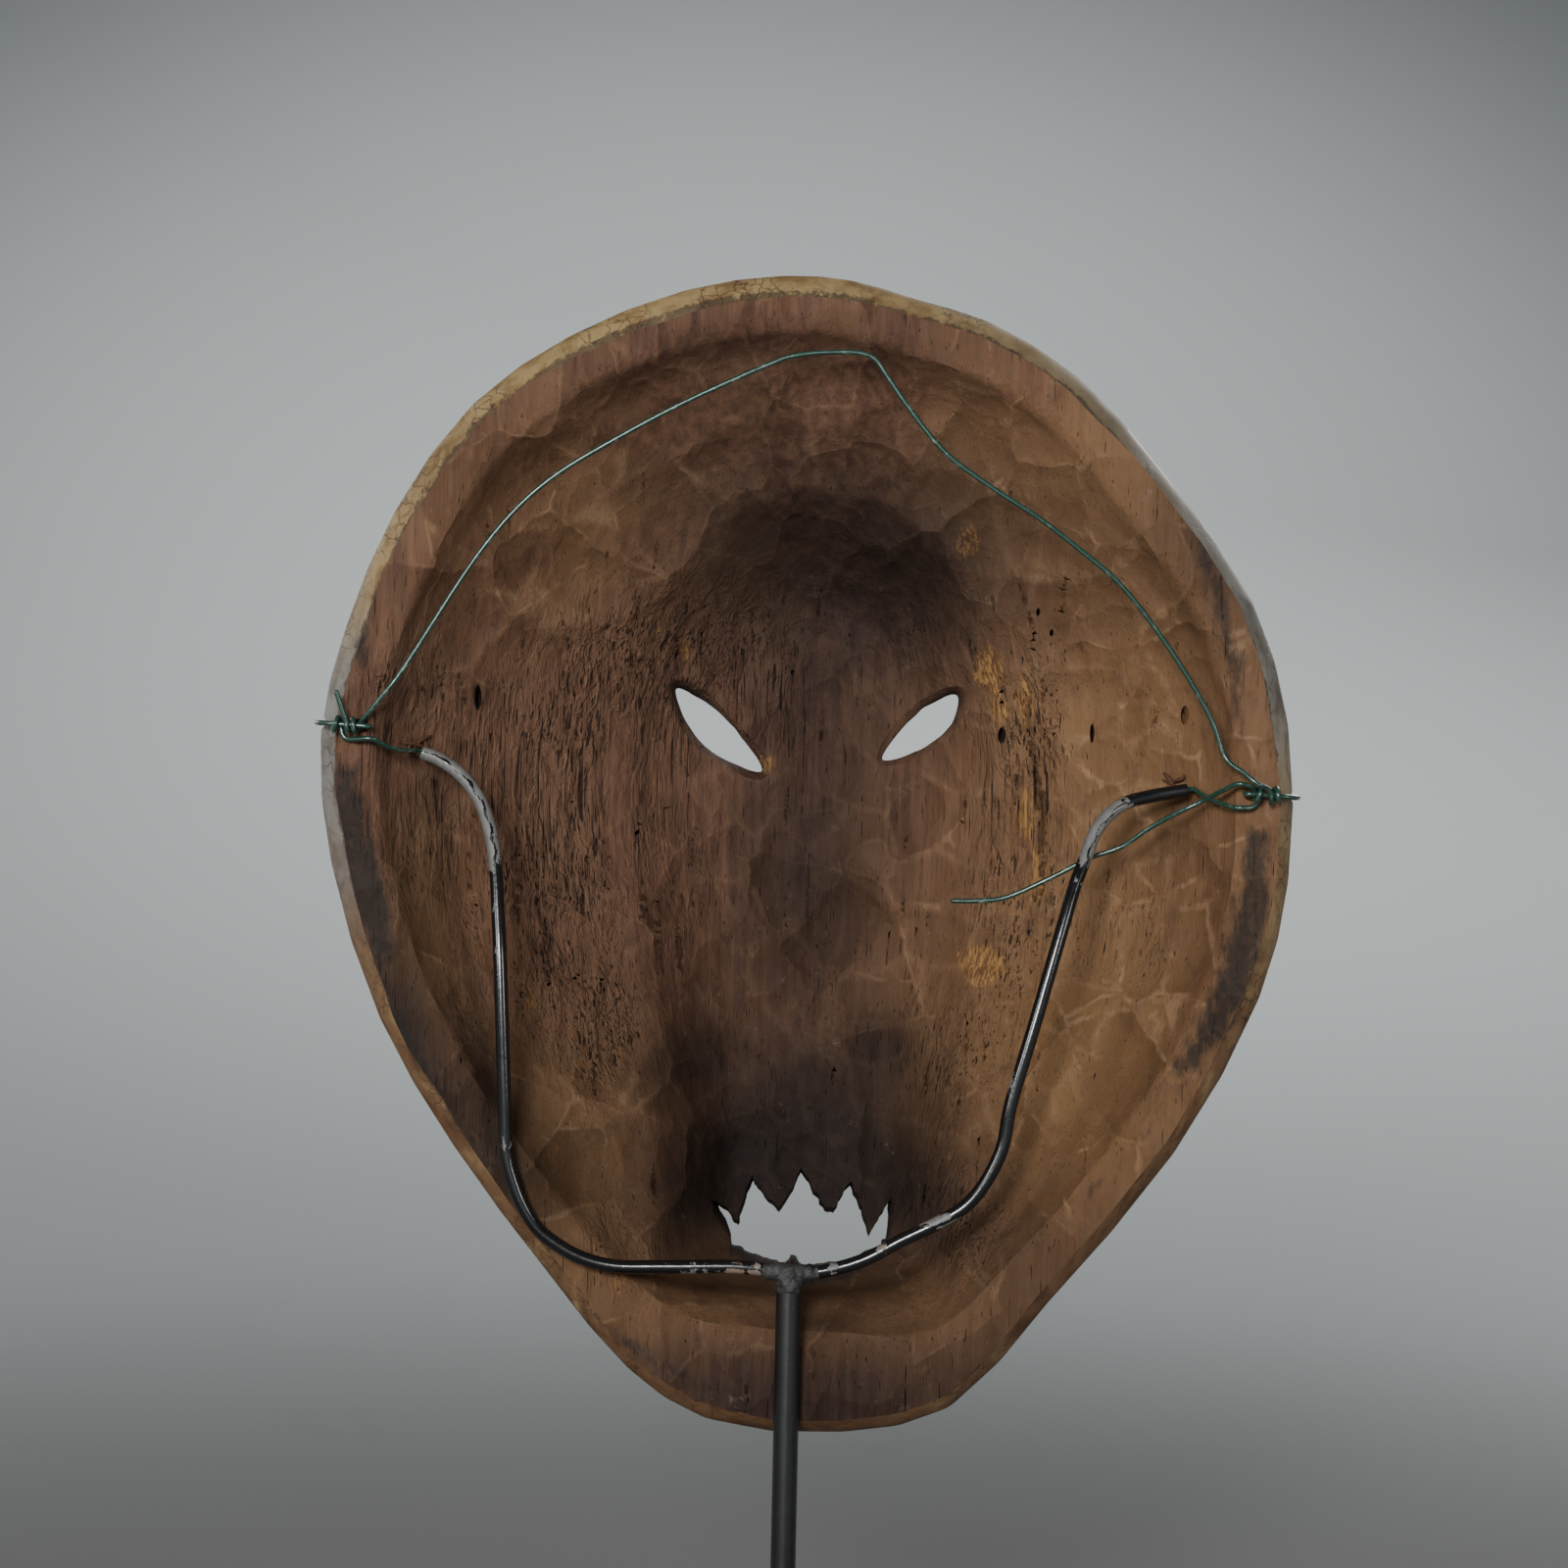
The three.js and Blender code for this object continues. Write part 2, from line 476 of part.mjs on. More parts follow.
const fromTip = (points, along, lift = 0) => points.at(-1).clone().addScaledVector(endWay(points), along)
  .addScaledVector(Y_WAY, lift);
const outOfBore = (points) => [fromTip(points, -TIE_IN_TIP), fromTip(points, -1), fromTip(points, 0.3, 0.1),
  fromTip(points, 1.6, 1.3)];

// Points between an arm's tip and a knot: share of the way, rise above that line, and height over the wood.
function tieRoute(points, knot, route) {
  const tip = points.at(-1);
  const end = knot(0, 0);
  return route.map(([share, above, lift]) => {
    const place = tip.clone().lerp(end, share);
    place.z += above;
    place.y = backY(place.x, place.z) + lift * WIRE_DIAMETER;
    return place;
  });
}

const RIM_INNER = KNOT_INSET - BEVEL_WIDTH - RIM_WIDTH; // the rim's inner edge in a knot's frame
const overRimEdge = (knot, above) => knot(RIM_INNER + 0.4, faceY + 1.7 * WIRE_DIAMETER, above);

// The left tie: out of the arm's tip, up over the rim's inner edge and round the rim loop.
function makeLeftTie() {
  return rod([
    ...outOfBore(leftArmPoints),
    ...tieRoute(leftArmPoints, leftKnot, [[0.22, -1.3, 3.3], [0.43, -2.3, 3.6]]),
    overRimEdge(leftKnot, -3.1), leftKnot(1.6, -COIL_RADIUS + 0.3, -3.4),
    ...coil(leftKnot, 3.1, 262, 640, COIL_PITCH),
  ], WIRE_RADIUS, 8);
}

// The right tie: the same, and then back past the tip as a long free tail that crosses behind the arm. The
// tail is [across, up, mm from the tip along Y].
const TAIL = [
  [-0.829, 0.5525, 6.6], [-0.794, 0.545, 5.6], [-0.764, 0.538, 3.5], [-0.723, 0.527, 0.8],
  [-0.67, 0.511, -1.2], [-0.608, 0.501, -2], [-0.533, 0.484, -2.6], [-0.43, 0.464, -3.4],
  [-0.373, 0.461, -3.7], [-0.325, 0.4605, -4],
];
function makeRightTie() {
  const tip = rightArmPoints.at(-1);
  return rod([
    ...outOfBore(rightArmPoints),
    ...tieRoute(rightArmPoints, rightKnot, [[0.21, -1.4, 3.3], [0.4, -3.1, 3.6]]),
    overRimEdge(rightKnot, -3.7), rightKnot(-2.2, -COIL_RADIUS + 0.3, -3.1),
    ...coil(rightKnot, -0.3, 262, 690, -COIL_PITCH),
    ...tieRoute(rightArmPoints, rightKnot, [[0.65, 2.4, 2.3], [0.4, 0.1, 4.4]]),
    ...TAIL.map(([u, v, along]) => new THREE.Vector3(across(u), tip.y + along, up(v))),
  ], WIRE_RADIUS, 8);
}

// ---------------------------------------------------------------- mask

// Rings round the middle, from the centre of the hollow out over the rim and back to the centre of the face.
function makeMaskBlank() {
  const SECTORS = 72;
  const HOLLOW_RINGS = 14;
  const FRONT_RINGS = 16;
  const spread = (i, count) => 1 - (1 - i / count) ** 1.35;
  const positions = [middle.x, backY(middle.x, middle.y), middle.y];
  const rings = [];
  for (let i = 1; i < HOLLOW_RINGS; i += 1) rings.push((radius, hollow) => spread(i, HOLLOW_RINGS) * hollow);
  rings.push((radius, hollow) => hollow);
  const hollowCount = rings.length;
  rings.push((radius) => radius - BEVEL_WIDTH, (radius) => radius, (radius) => radius);
  for (let i = FRONT_RINGS - 1; i > 0; i -= 1) rings.push((radius) => spread(i, FRONT_RINGS) * radius);
  rings.forEach((reach, ring) => {
    for (let s = 0; s < SECTORS; s += 1) {
      const turn = (s / SECTORS - 0.5) * 2 * Math.PI;
      const radius = reach(outlineRadius(turn), hollowRadius(turn));
      const x = middle.x + radius * Math.cos(turn);
      const z = middle.y + radius * Math.sin(turn);
      const past = ring - hollowCount; // 0 rim's outer edge, 1 and 2 the side, then the front
      const rimEdge = past < -1 ? backY(x, z) : RIM_Y;
      const y = past < 1 ? rimEdge : RIM_Y - (past === 1 ? BEVEL_DEPTH : frontDepth(x, z));
      positions.push(x, y, z);
    }
  });
  positions.push(middle.x, RIM_Y - frontDepth(middle.x, middle.y), middle.y);
  const last = positions.length / 3 - 1;
  const faces = [];
  for (let s = 0; s < SECTORS; s += 1) {
    const next = (s + 1) % SECTORS;
    faces.push(0, 1 + next, 1 + s);
    for (let ring = 0; ring < rings.length - 1; ring += 1) {
      const here = 1 + ring * SECTORS;
      const there = here + SECTORS;
      faces.push(here + s, here + next, there + next, here + s, there + next, there + s);
    }
    const rim = 1 + (rings.length - 1) * SECTORS;
    faces.push(rim + s, rim + next, last);
  }
  const geometry = new THREE.BufferGeometry();
  geometry.setAttribute('position', new THREE.Float32BufferAttribute(positions, 3));
  geometry.setIndex(faces);
  return geometry;
}

const mouthEdge = [...UPPER_TEETH, ...LOWER_LIP];
add('mask_shell', cut(
  makeMaskBlank(),
  through(smoothEdge(LEFT_EYE_EDGE, 18), on(LEFT_EYE)),
  through(smoothEdge(RIGHT_EYE_EDGE, 18), on(RIGHT_EYE)),
  through(mouthEdge, on(MOUTH)),
  rimHole(leftKnot),
  rimHole(rightKnot),
), wood);
add('left_rim_loop', rimLoop(leftKnot), coatedWire);
add('right_rim_loop', rimLoop(rightKnot), coatedWire);
add('left_arm_tie', makeLeftTie(), coatedWire);
add('right_arm_tie', makeRightTie(), coatedWire);
add('hanger_wire', makeHanger(), coatedWire);

export default mask;
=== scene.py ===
"""A carved wooden mask, hollow side to the camera, wired to its black steel stand.

Lengths are in millimetres until Surface.mesh makes them metres. +Z is up, the mask's face looks along -Y
and its hollow back along +Y. Places on the mask are [across, up]: shares of half its width from the post's
axis, and of its height from the chin, as in the part's source.
"""

import json
import math

import bpy
import numpy as np
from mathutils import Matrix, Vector


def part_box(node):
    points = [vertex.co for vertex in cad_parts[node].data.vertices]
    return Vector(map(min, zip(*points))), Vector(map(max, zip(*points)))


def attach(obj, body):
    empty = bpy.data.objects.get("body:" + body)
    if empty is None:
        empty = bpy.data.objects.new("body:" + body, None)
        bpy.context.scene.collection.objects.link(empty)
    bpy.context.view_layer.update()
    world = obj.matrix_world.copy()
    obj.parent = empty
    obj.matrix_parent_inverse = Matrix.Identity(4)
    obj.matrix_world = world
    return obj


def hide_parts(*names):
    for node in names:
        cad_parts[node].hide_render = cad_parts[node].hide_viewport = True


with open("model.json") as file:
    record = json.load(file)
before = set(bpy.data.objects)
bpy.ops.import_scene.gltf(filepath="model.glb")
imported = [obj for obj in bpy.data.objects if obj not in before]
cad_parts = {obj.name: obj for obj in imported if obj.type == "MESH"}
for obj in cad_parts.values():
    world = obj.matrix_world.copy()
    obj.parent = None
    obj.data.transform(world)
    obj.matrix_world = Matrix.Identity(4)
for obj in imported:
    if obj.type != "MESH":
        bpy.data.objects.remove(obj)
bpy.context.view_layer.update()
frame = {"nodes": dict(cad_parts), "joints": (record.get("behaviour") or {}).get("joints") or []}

MM = 0.001

# ------------------------------------------------ driving dimensions, as in the part's source

MASK_WIDTH = 250.0
MASK_HEIGHT = 296.5
CHIN_HEIGHT = 105.0
RIM_WIDTH = 10.5
BEVEL_WIDTH = 4.5
BEVEL_DEPTH = 6.0
SIDE_DEPTH = 15.0
CHIN_RIM_EXTRA = 12.0
HOLLOW_DEPTH = 64.0
TROUGH_STEP = 5.0
TROUGH_LIFT = 13.0
VALLEY_DEPTH = 5.0
FRONT_DEPTH = 83.0
THINNEST_WALL = 7.5
ARM_RADIUS = 1.75
WIRE_RADIUS = 0.65
COIL_RADIUS = 1.72  # middle of a wire that is wound on a wire
COIL_PITCH = 1.75
KNOT_INSET = 8.8  # from the outline to the middle of a knot
TIE_IN_TIP = 2.4

OUTLINE = [
    [0.053, 1], [-0.087, 0.997], [-0.228, 0.981], [-0.369, 0.964], [-0.558, 0.917], [-0.735, 0.836],
    [-0.921, 0.728], [-1.002, 0.62], [-1.009, 0.485], [-0.954, 0.383], [-0.785, 0.247], [-0.53, 0.114],
    [-0.335, 0.023], [-0.117, 0], [0.164, 0.009], [0.326, 0.051], [0.49, 0.13], [0.696, 0.242],
    [0.851, 0.35], [0.958, 0.484], [0.985, 0.594], [0.938, 0.687], [0.842, 0.789], [0.687, 0.883],
    [0.49, 0.944], [0.252, 0.986],
]
NOSE_LINE = -0.032
LEFT_EYE = [0.178, 0.607]
RIGHT_EYE = [-0.264, 0.613]
MOUTH = [-0.027, 0.154]
NOSE_TIP_UP = 0.385
BRIDGE_UP = 0.63
TROUGH_TOP_UP = 0.79
TROUGH_DEEPEST_UP = 0.6
TROUGH_FOOT_UP = 0.12
TROUGH_HALF_WIDTH = 0.33
TROUGH_FOOT_HALF_WIDTH = 0.25
TROUGH_HEAD = 0.19
MUZZLE_UP = 0.2
CHEEK = [0.4, 0.43]
BROW_RISE = 0.32  # the brows climb sideways, and bend down by BROW_BEND
BROW_BEND = 0.0022
LIPS_HALF_WIDTH = 34
LIPS_HALF_HEIGHT = 20

# The openings' edges in mm from their middles.
LEFT_EYE_EDGE = [[12, 11.6], [4, 8.3], [-4.3, 1.2], [-12, -10.4], [-3.2, -8.1], [4.6, -3], [9.6, 4.3]]
RIGHT_EYE_EDGE = [[-10.1, 9.6], [-8.5, 1.4], [0.2, -5.8], [9.8, -8.4], [7.6, -3.6], [-0.7, 5.5]]
UPPER_TEETH = [
    [23.9, 5.9], [19.9, 3.4], [17.3, -0.5], [15.8, 4.9], [13.5, 11.9], [10.6, 7.3], [5.9, 3.2], [0.3, 14],
    [-3.9, 7.4], [-6.2, 3.7], [-8.8, 3.6], [-12.8, 10.9], [-16, 4.9], [-18.3, -2.3], [-22.2, 4.5],
    [-23.9, 7.3],
]
LOWER_LIP = [
    [-23, -2.9], [-21.3, -4.5], [-12.7, -8.5], [-0.9, -9.8], [1, -8.1], [2.6, -7.5], [4.3, -9.4],
    [12.5, -7.5], [18.6, -4.7], [21, 1.1],
]

# ------------------------------------------------ places from the frame


def corners(node):
    """The lowest and highest corner of a CAD node, in mm."""
    return tuple(np.array(corner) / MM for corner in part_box(node))


def across(u):
    return np.asarray(u, float) * MASK_WIDTH / 2


def up(v):
    return CHIN_HEIGHT + np.asarray(v, float) * MASK_HEIGHT


def place(spot):
    """[across, up] as [x, z] in mm."""
    return np.array([across(spot[0]), up(spot[1])])


JOINT = {joint["name"]: joint for joint in frame["joints"]}
RIM_Y = corners("mask_shell")[1][1]
MIDDLE = place([-0.016, 0.53])
NOSE_X = across(NOSE_LINE)
EYES = [(place(LEFT_EYE), LEFT_EYE_EDGE), (place(RIGHT_EYE), RIGHT_EYE_EDGE)]

# ------------------------------------------------ curves, noise and steps


def smooth(low, high, t):
    """0 below low, 1 above high and 3s^2 - 2s^3 between them."""
    s = np.clip((t - low) / (high - low), 0, 1)
    return s * s * (3 - 2 * s)


def hill(x, z, centre, wide, high, tilt=0.0):
    """exp(-(a/wide)^2 - (b/high)^2), with a and b the distances from the centre along turned axes."""
    c, s = math.cos(math.radians(tilt)), math.sin(math.radians(tilt))
    a = (x - centre[0]) * c + (z - centre[1]) * s
    b = (z - centre[1]) * c - (x - centre[0]) * s
    return np.exp(-((a / wide) ** 2) - (b / high) ** 2)


def hills(x, z, table):
    """The sum of hills at [across, up, half width, half height, strength]."""
    return sum(power * hill(x, z, place((u, v)), wide, high) for u, v, wide, high, power in table)


def between(z, *steps):
    """Up the mask: 0 below the first of four heights, 1 from the second to the third, 0 above the fourth."""
    a, b, c, d = (up(step) for step in steps)
    return smooth(a, b, z) * (1 - smooth(c, d, z))


def noise(x, z, wide, high, seed):
    """Random heights from -1 to 1 on a net of wide by high cells, with smooth steps between its knots."""
    net = np.random.default_rng(seed).uniform(-1, 1, (128, 128))
    a, b = x / wide + 512.5, z / high + 512.5
    i, j = np.floor(a).astype(int), np.floor(b).astype(int)
    f, g = smooth(0, 1, a - i), smooth(0, 1, b - j)
    low = net[i % 128, j % 128] * (1 - f) + net[(i + 1) % 128, j % 128] * f
    high_side = net[i % 128, (j + 1) % 128] * (1 - f) + net[(i + 1) % 128, (j + 1) % 128] * f
    return low * (1 - g) + high_side * g


def curve(points, steps, closed=False):
    """Centripetal Catmull-Rom curve: cubic stretches through the points, each cut into that many steps."""
    p = np.asarray(points, float)
    if closed:
        p = np.concatenate([p[-1:], p, p[:2]])
    else:
        p = np.concatenate([2 * p[:1] - p[1:2], p, 2 * p[-1:] - p[-2:-1]])
    p0, p1, p2, p3 = (p[k:len(p) - 3 + k] for k in range(4))
    d0, d1, d2 = (
        np.maximum(np.linalg.norm(b - a, axis=1), 1e-8)[:, None] ** 0.5
        for a, b in ((p0, p1), (p1, p2), (p2, p3))
    )
    m1 = ((p1 - p0) / d0 - (p2 - p0) / (d0 + d1) + (p2 - p1) / d1) * d1
    m2 = ((p2 - p1) / d1 - (p3 - p1) / (d1 + d2) + (p3 - p2) / d2) * d1
    t = (np.arange(steps) / steps)[:, None, None]
    spans = (2 * t**3 - 3 * t**2 + 1) * p1 + (t**3 - 2 * t**2 + t) * m1
    spans = spans + (3 * t**2 - 2 * t**3) * p2 + (t**3 - t**2) * m2
    line = spans.transpose(1, 0, 2).reshape(-1, p.shape[1])
    return line if closed else np.concatenate([line, p[-2:-1]])


def from_line(x, z, points):
    """Distance from each place to a broken line of [across, up] points, and the share of its length there."""
    line = np.array([place(spot) for spot in points])
    starts, ways = line[:-1], np.diff(line, axis=0)
    lengths = np.linalg.norm(ways, axis=1)
    offset = np.stack([x, z], -1)[..., None, :] - starts
    t = np.clip((offset * ways).sum(-1) / lengths**2, 0, 1)
    gaps = np.linalg.norm(offset - t[..., None] * ways, axis=-1)
    nearest = gaps.argmin(-1)
    run = np.concatenate([[0], np.cumsum(lengths)[:-1]])[nearest]
    into = np.take_along_axis(t, nearest[..., None], -1)[..., 0] * lengths[nearest]
    return gaps.min(-1), (run + into) / lengths.sum()


# ------------------------------------------------ the mask's shape

SMOOTH_OUTLINE = curve([place(spot) for spot in OUTLINE], 28, closed=True)
HEWN_CORNERS = curve([place(spot) for spot in OUTLINE], 2, closed=True)


def radius_of(corner_points, turn):
    """Distance from the mask's middle to a closed polygon in each direction, where the ray meets its side."""
    offset = corner_points - MIDDLE
    angles = np.arctan2(offset[:, 1], offset[:, 0])
    offset = offset[np.argsort(angles)]
    angles = np.sort(angles)
    after = np.searchsorted(angles, turn) % len(angles)
    start, end = offset[after - 1], offset[after]
    side = end - start
    ray = np.stack([np.cos(turn), np.sin(turn)], -1)
    return (start[..., 0] * side[..., 1] - start[..., 1] * side[..., 0]) / (
        ray[..., 0] * side[..., 1] - ray[..., 1] * side[..., 0]
    )


RADIUS_STEPS = 2880
RADIUS_TURNS = np.linspace(-math.pi, math.pi, RADIUS_STEPS + 1)
SMOOTH_RADII = radius_of(SMOOTH_OUTLINE, RADIUS_TURNS)
HEWN_RADII = sum(
    radius_of(HEWN_CORNERS, (RADIUS_TURNS + shift + math.pi) % (2 * math.pi) - math.pi)
    for shift in np.radians([-0.6, -0.3, 0, 0.3, 0.6])
) / 5


def polar(x, z):
    """Direction and distance from the mask's middle."""
    return np.arctan2(z - MIDDLE[1], x - MIDDLE[0]), np.hypot(x - MIDDLE[0], z - MIDDLE[1])


def around(turn, distance):
    """The place in a direction at a distance from the mask's middle."""
    return MIDDLE[0] + distance * np.cos(turn), MIDDLE[1] + distance * np.sin(turn)


def outline_radius(turn):
    return np.interp(turn, RADIUS_TURNS, SMOOTH_RADII)


def hewn_radius(turn):
    """The outline's radius with the flats that the adze left."""
    return np.interp(turn, RADIUS_TURNS, HEWN_RADII)


def hollow_radius(turn):
    """From the middle to the rim's inner edge. The rim is wider across the chin."""
    chinward = np.exp(-(((turn + math.pi / 2) / 0.32) ** 2))
    return outline_radius(turn) - BEVEL_WIDTH - RIM_WIDTH - CHIN_RIM_EXTRA * chinward


def hollow_depth(x, z):
    """A bowl, 64 (1 - share^2)^0.85, with a flat-bottomed trough and a groove behind the nose."""
    turn, distance = polar(x, z)
    share = distance / hollow_radius(turn)
    bowl = HOLLOW_DEPTH * np.maximum(1 - share**2, 0) ** 0.85
    side = np.abs(x - NOSE_X)
    down = smooth(up(TROUGH_FOOT_UP), up(TROUGH_DEEPEST_UP), z)
    half = across(TROUGH_FOOT_HALF_WIDTH) * (1 - down) + across(TROUGH_HALF_WIDTH) * down
    head = np.maximum(0, (z - up(TROUGH_TOP_UP - TROUGH_HEAD)) / (TROUGH_HEAD * MASK_HEIGHT))
    window = 1 - smooth(0.55, 1.3, np.hypot(side / half, 1.08 * head))
    window = window * smooth(up(TROUGH_FOOT_UP - 0.015), up(TROUGH_FOOT_UP + 0.03), z)
    away = (z - up(TROUGH_DEEPEST_UP)) / (up(TROUGH_DEEPEST_UP) - up(TROUGH_FOOT_UP))
    floor = HOLLOW_DEPTH + TROUGH_STEP - TROUGH_LIFT * away**2
    valley = np.maximum(0, 1 - side / across(0.2)) * between(z, 0.24, 0.36, 0.64, 0.74)
    depth = bowl + np.maximum(0, floor - bowl) * window + VALLEY_DEPTH * valley
    return np.where(share < 1, depth, 0.0)


def brow_line(side):
    """The brows' middle line: height at a distance sideways from the nose's line."""
    return up(BRIDGE_UP) + BROW_RISE * side - BROW_BEND * side**2


def mouth_ring(x, z):
    """1 on the oval of the lips, less inside it."""
    mouth_x, mouth_z = place(MOUTH)
    return np.hypot((x - mouth_x) / LIPS_HALF_WIDTH, (z - mouth_z - 1) / LIPS_HALF_HEIGHT)


def eye_gaps(x, z):
    """Distance from each place to each eye's edge."""
    lines = [spot + curve(edge, 6, closed=True) for spot, edge in EYES]
    squares = [(x[:, None] - line[:, 0]) ** 2 + (z[:, None] - line[:, 1]) ** 2 for line in lines]
    return [np.sqrt(square.min(1)) for square in squares]


def front_height(x, z):
    """A dome, 15 + 68 (1 - share^2)^0.9, with brows, nose, muzzle, lips, cheeks and chin."""
    turn, distance = polar(x, z)
    share = np.minimum(1, distance / outline_radius(turn))
    dome = SIDE_DEPTH + (FRONT_DEPTH - SIDE_DEPTH) * (1 - share**2) ** 0.9
    side = np.abs(x - NOSE_X)
    down_nose = (up(BRIDGE_UP) - z) / (up(BRIDGE_UP) - up(NOSE_TIP_UP))
    nose_half = 11 + 9 * np.clip(down_nose, 0, 1)
    nose = np.exp(-((side / nose_half) ** 3)) * smooth(-0.3, 1, down_nose)
    nose = nose * (1 - smooth(1.02, 1.18, down_nose))
    brow = np.exp(-(((z - brow_line(side)) / 8) ** 2)) * (1 - smooth(46, 66, side))
    mouth_x = across(MOUTH[0])
    lips = np.exp(-(((mouth_ring(x, z) - 1) / 0.32) ** 2))
    muzzle = np.exp(-(np.hypot((x - mouth_x) / 46, (z - up(MUZZLE_UP)) / 38) ** 3))
    cheeks = hill(side, z, place(CHEEK), 24, 26)
    chin = hill(x, z, (mouth_x, up(0.045)), 24, 12)
    sockets = sum(hill(x, z, spot, 17, 12) for spot, _ in EYES)
    carved = 21 * nose + 9 * brow + 21 * muzzle + 5 * lips + 8 * cheeks + 7 * chin - 3 * sockets
    return np.maximum(dome + (1 - smooth(0.86, 1, share)) * carved, hollow_depth(x, z) + THINNEST_WALL)


# ------------------------------------------------ tool marks in the hollow

# Gouge cuts that stand out: [across, up, half length, half width, tilt in degrees].
MARKED_CUTS = [
    (-0.45, 0.845, 7.5, 8.5, 0), (-0.56, 0.78, 12, 9, -15), (-0.61, 0.64, 9, 9.5, 0),
    (-0.72, 0.637, 8.5, 9.5, 0),
    (-0.72, 0.764, 7, 7, 0), (-0.28, 0.897, 9, 6, 0), (-0.3, 0.813, 9, 6, 0), (-0.43, 0.706, 9, 13, 15),
    (-0.6, 0.706, 15, 11, 30), (-0.79, 0.696, 7, 12, 20), (-0.48, 0.888, 10, 7, 30), (-0.37, 0.946, 9, 6, 20),
    (-0.61, 0.849, 9, 7, 40), (-0.77, 0.584, 9, 12, 0), (-0.64, 0.566, 10, 12, 0), (-0.5, 0.271, 11, 10, 40),
    (-0.6, 0.288, 9, 12, 30), (-0.69, 0.339, 10, 9, 30), (-0.61, 0.415, 10, 9, 0), (-0.74, 0.422, 8, 11, 0),
    (-0.43, 0.331, 8, 10, 0), (-0.19, 0.408, 9, 10, 0), (-0.53, 0.219, 9, 8, 0), (-0.45, 0.184, 9, 8, 0),
    (-0.75, 0.344, 8, 9, 30), (-0.65, 0.266, 8, 8, 30), (0.44, 0.215, 9.5, 11, 0), (0.53, 0.277, 9, 11, -20),
    (0.54, 0.185, 9, 9, -30), (0.14, 0.445, 9, 10, 0), (0.15, 0.495, 9, 9, 0), (0.18, 0.542, 9, 9, 0),
    (0.37, 0.432, 8, 12, -20), (0.21, 0.336, 9, 9.5, 0), (0.3, 0.305, 6, 7, 0), (-0.2, 0.32, 8, 9, 0),
    (0.34, 0.176, 9, 8, -30), (0.43, 0.748, 14, 10, 10), (0.54, 0.817, 26, 8, -35), (0.66, 0.748, 20, 8, -50),
    (0.28, 0.875, 24, 8, -22), (0.32, 0.907, 20, 6, -22), (0.48, 0.661, 15, 8, -10),
    (0.71, 0.692, 14, 8, -60),
    (0.15, 0.932, 16, 6, -12), (-0.03, 0.907, 16, 8, 0), (0.13, 0.851, 18, 10, -15),
    (-0.12, 0.862, 14, 10, 15),
    (0.26, 0.8, 14, 12, -30), (-0.1, 0.434, 8, 12, 0), (0.05, 0.487, 8, 14, 0), (0.02, 0.37, 9, 11, 0),
    (-0.12, 0.507, 9, 12, 0), (-0.18, 0.707, 10, 12, 0), (0.13, 0.722, 10, 12, 0), (-0.03, 0.651, 8, 14, 0),
]
# Where the wood tore instead of cutting clean: [across, up, half width, half height, strength].
TORN = [
    (0.5, 0.5, 34, 44, 1), (0.33, 0.66, 16, 22, 1), (0.62, 0.6, 22, 20, 0.7), (-0.47, 0.52, 14, 46, 1),
    (-0.3, 0.28, 16, 26, 0.6), (0.4, 0.33, 9, 20, 0.6), (0.12, 0.66, 26, 26, 0.5), (-0.2, 0.66, 22, 30, 0.4),
    (-0.7, 0.44, 14, 18, 0.4), (0.85, 0.62, 10, 26, 0.6), (0.33, 0.15, 16, 12, 0.5),
    (-0.35, 0.17, 14, 12, 0.6),
]
CUT_SPACING = 16.5
CUT_DEPTH = 2.1
CUT_REACH = 1.35  # a cut reaches further than its listed half length and half width
GROOVE = [[0.74, 0.58], [0.72, 0.486], [0.69, 0.418], [0.65, 0.341], [0.61, 0.273], [0.57, 0.21]]


def all_cuts():
    """The marked cuts, and others on a shaken net wherever the marked ones leave room; as arrays."""
    random = np.random.default_rng(11)
    marked = np.array([(*place(cut[:2]), *cut[2:], 1.0) for cut in MARKED_CUTS])
    marked[:, 5] = random.uniform(0.9, 1.35, len(marked))
    i, j = np.meshgrid(np.arange(-9, 10), np.arange(-10, 11))
    x = (MIDDLE[0] + CUT_SPACING * (i + 0.5 * (j % 2)) + random.uniform(-5, 5, i.shape)).ravel()
    z = (MIDDLE[1] + 0.92 * CUT_SPACING * j + random.uniform(-5, 5, i.shape)).ravel()
    turn, distance = polar(x, z)
    gaps = np.hypot(x[:, None] - marked[:, 0], z[:, None] - marked[:, 1]) / (0.55 * marked[:, 2:4].sum(1))
    free = (gaps.min(1) > 1) & (distance < hollow_radius(turn) + 4)
    x, z, turn = x[free], z[free], turn[free]
    along_rim = np.degrees(turn) + 90
    upper_left = hill(x, z, place([0.5, 0.75]), 70, 70)
    length = random.uniform(10, 13, len(x)) + 9 * upper_left
    width = random.uniform(9, 12, len(x)) - 2 * upper_left
    depth = random.uniform(0.8, 1.3, len(x))
    return np.concatenate([marked, np.stack([x, z, length, width, along_rim, depth], 1)])


CUTS = all_cuts()


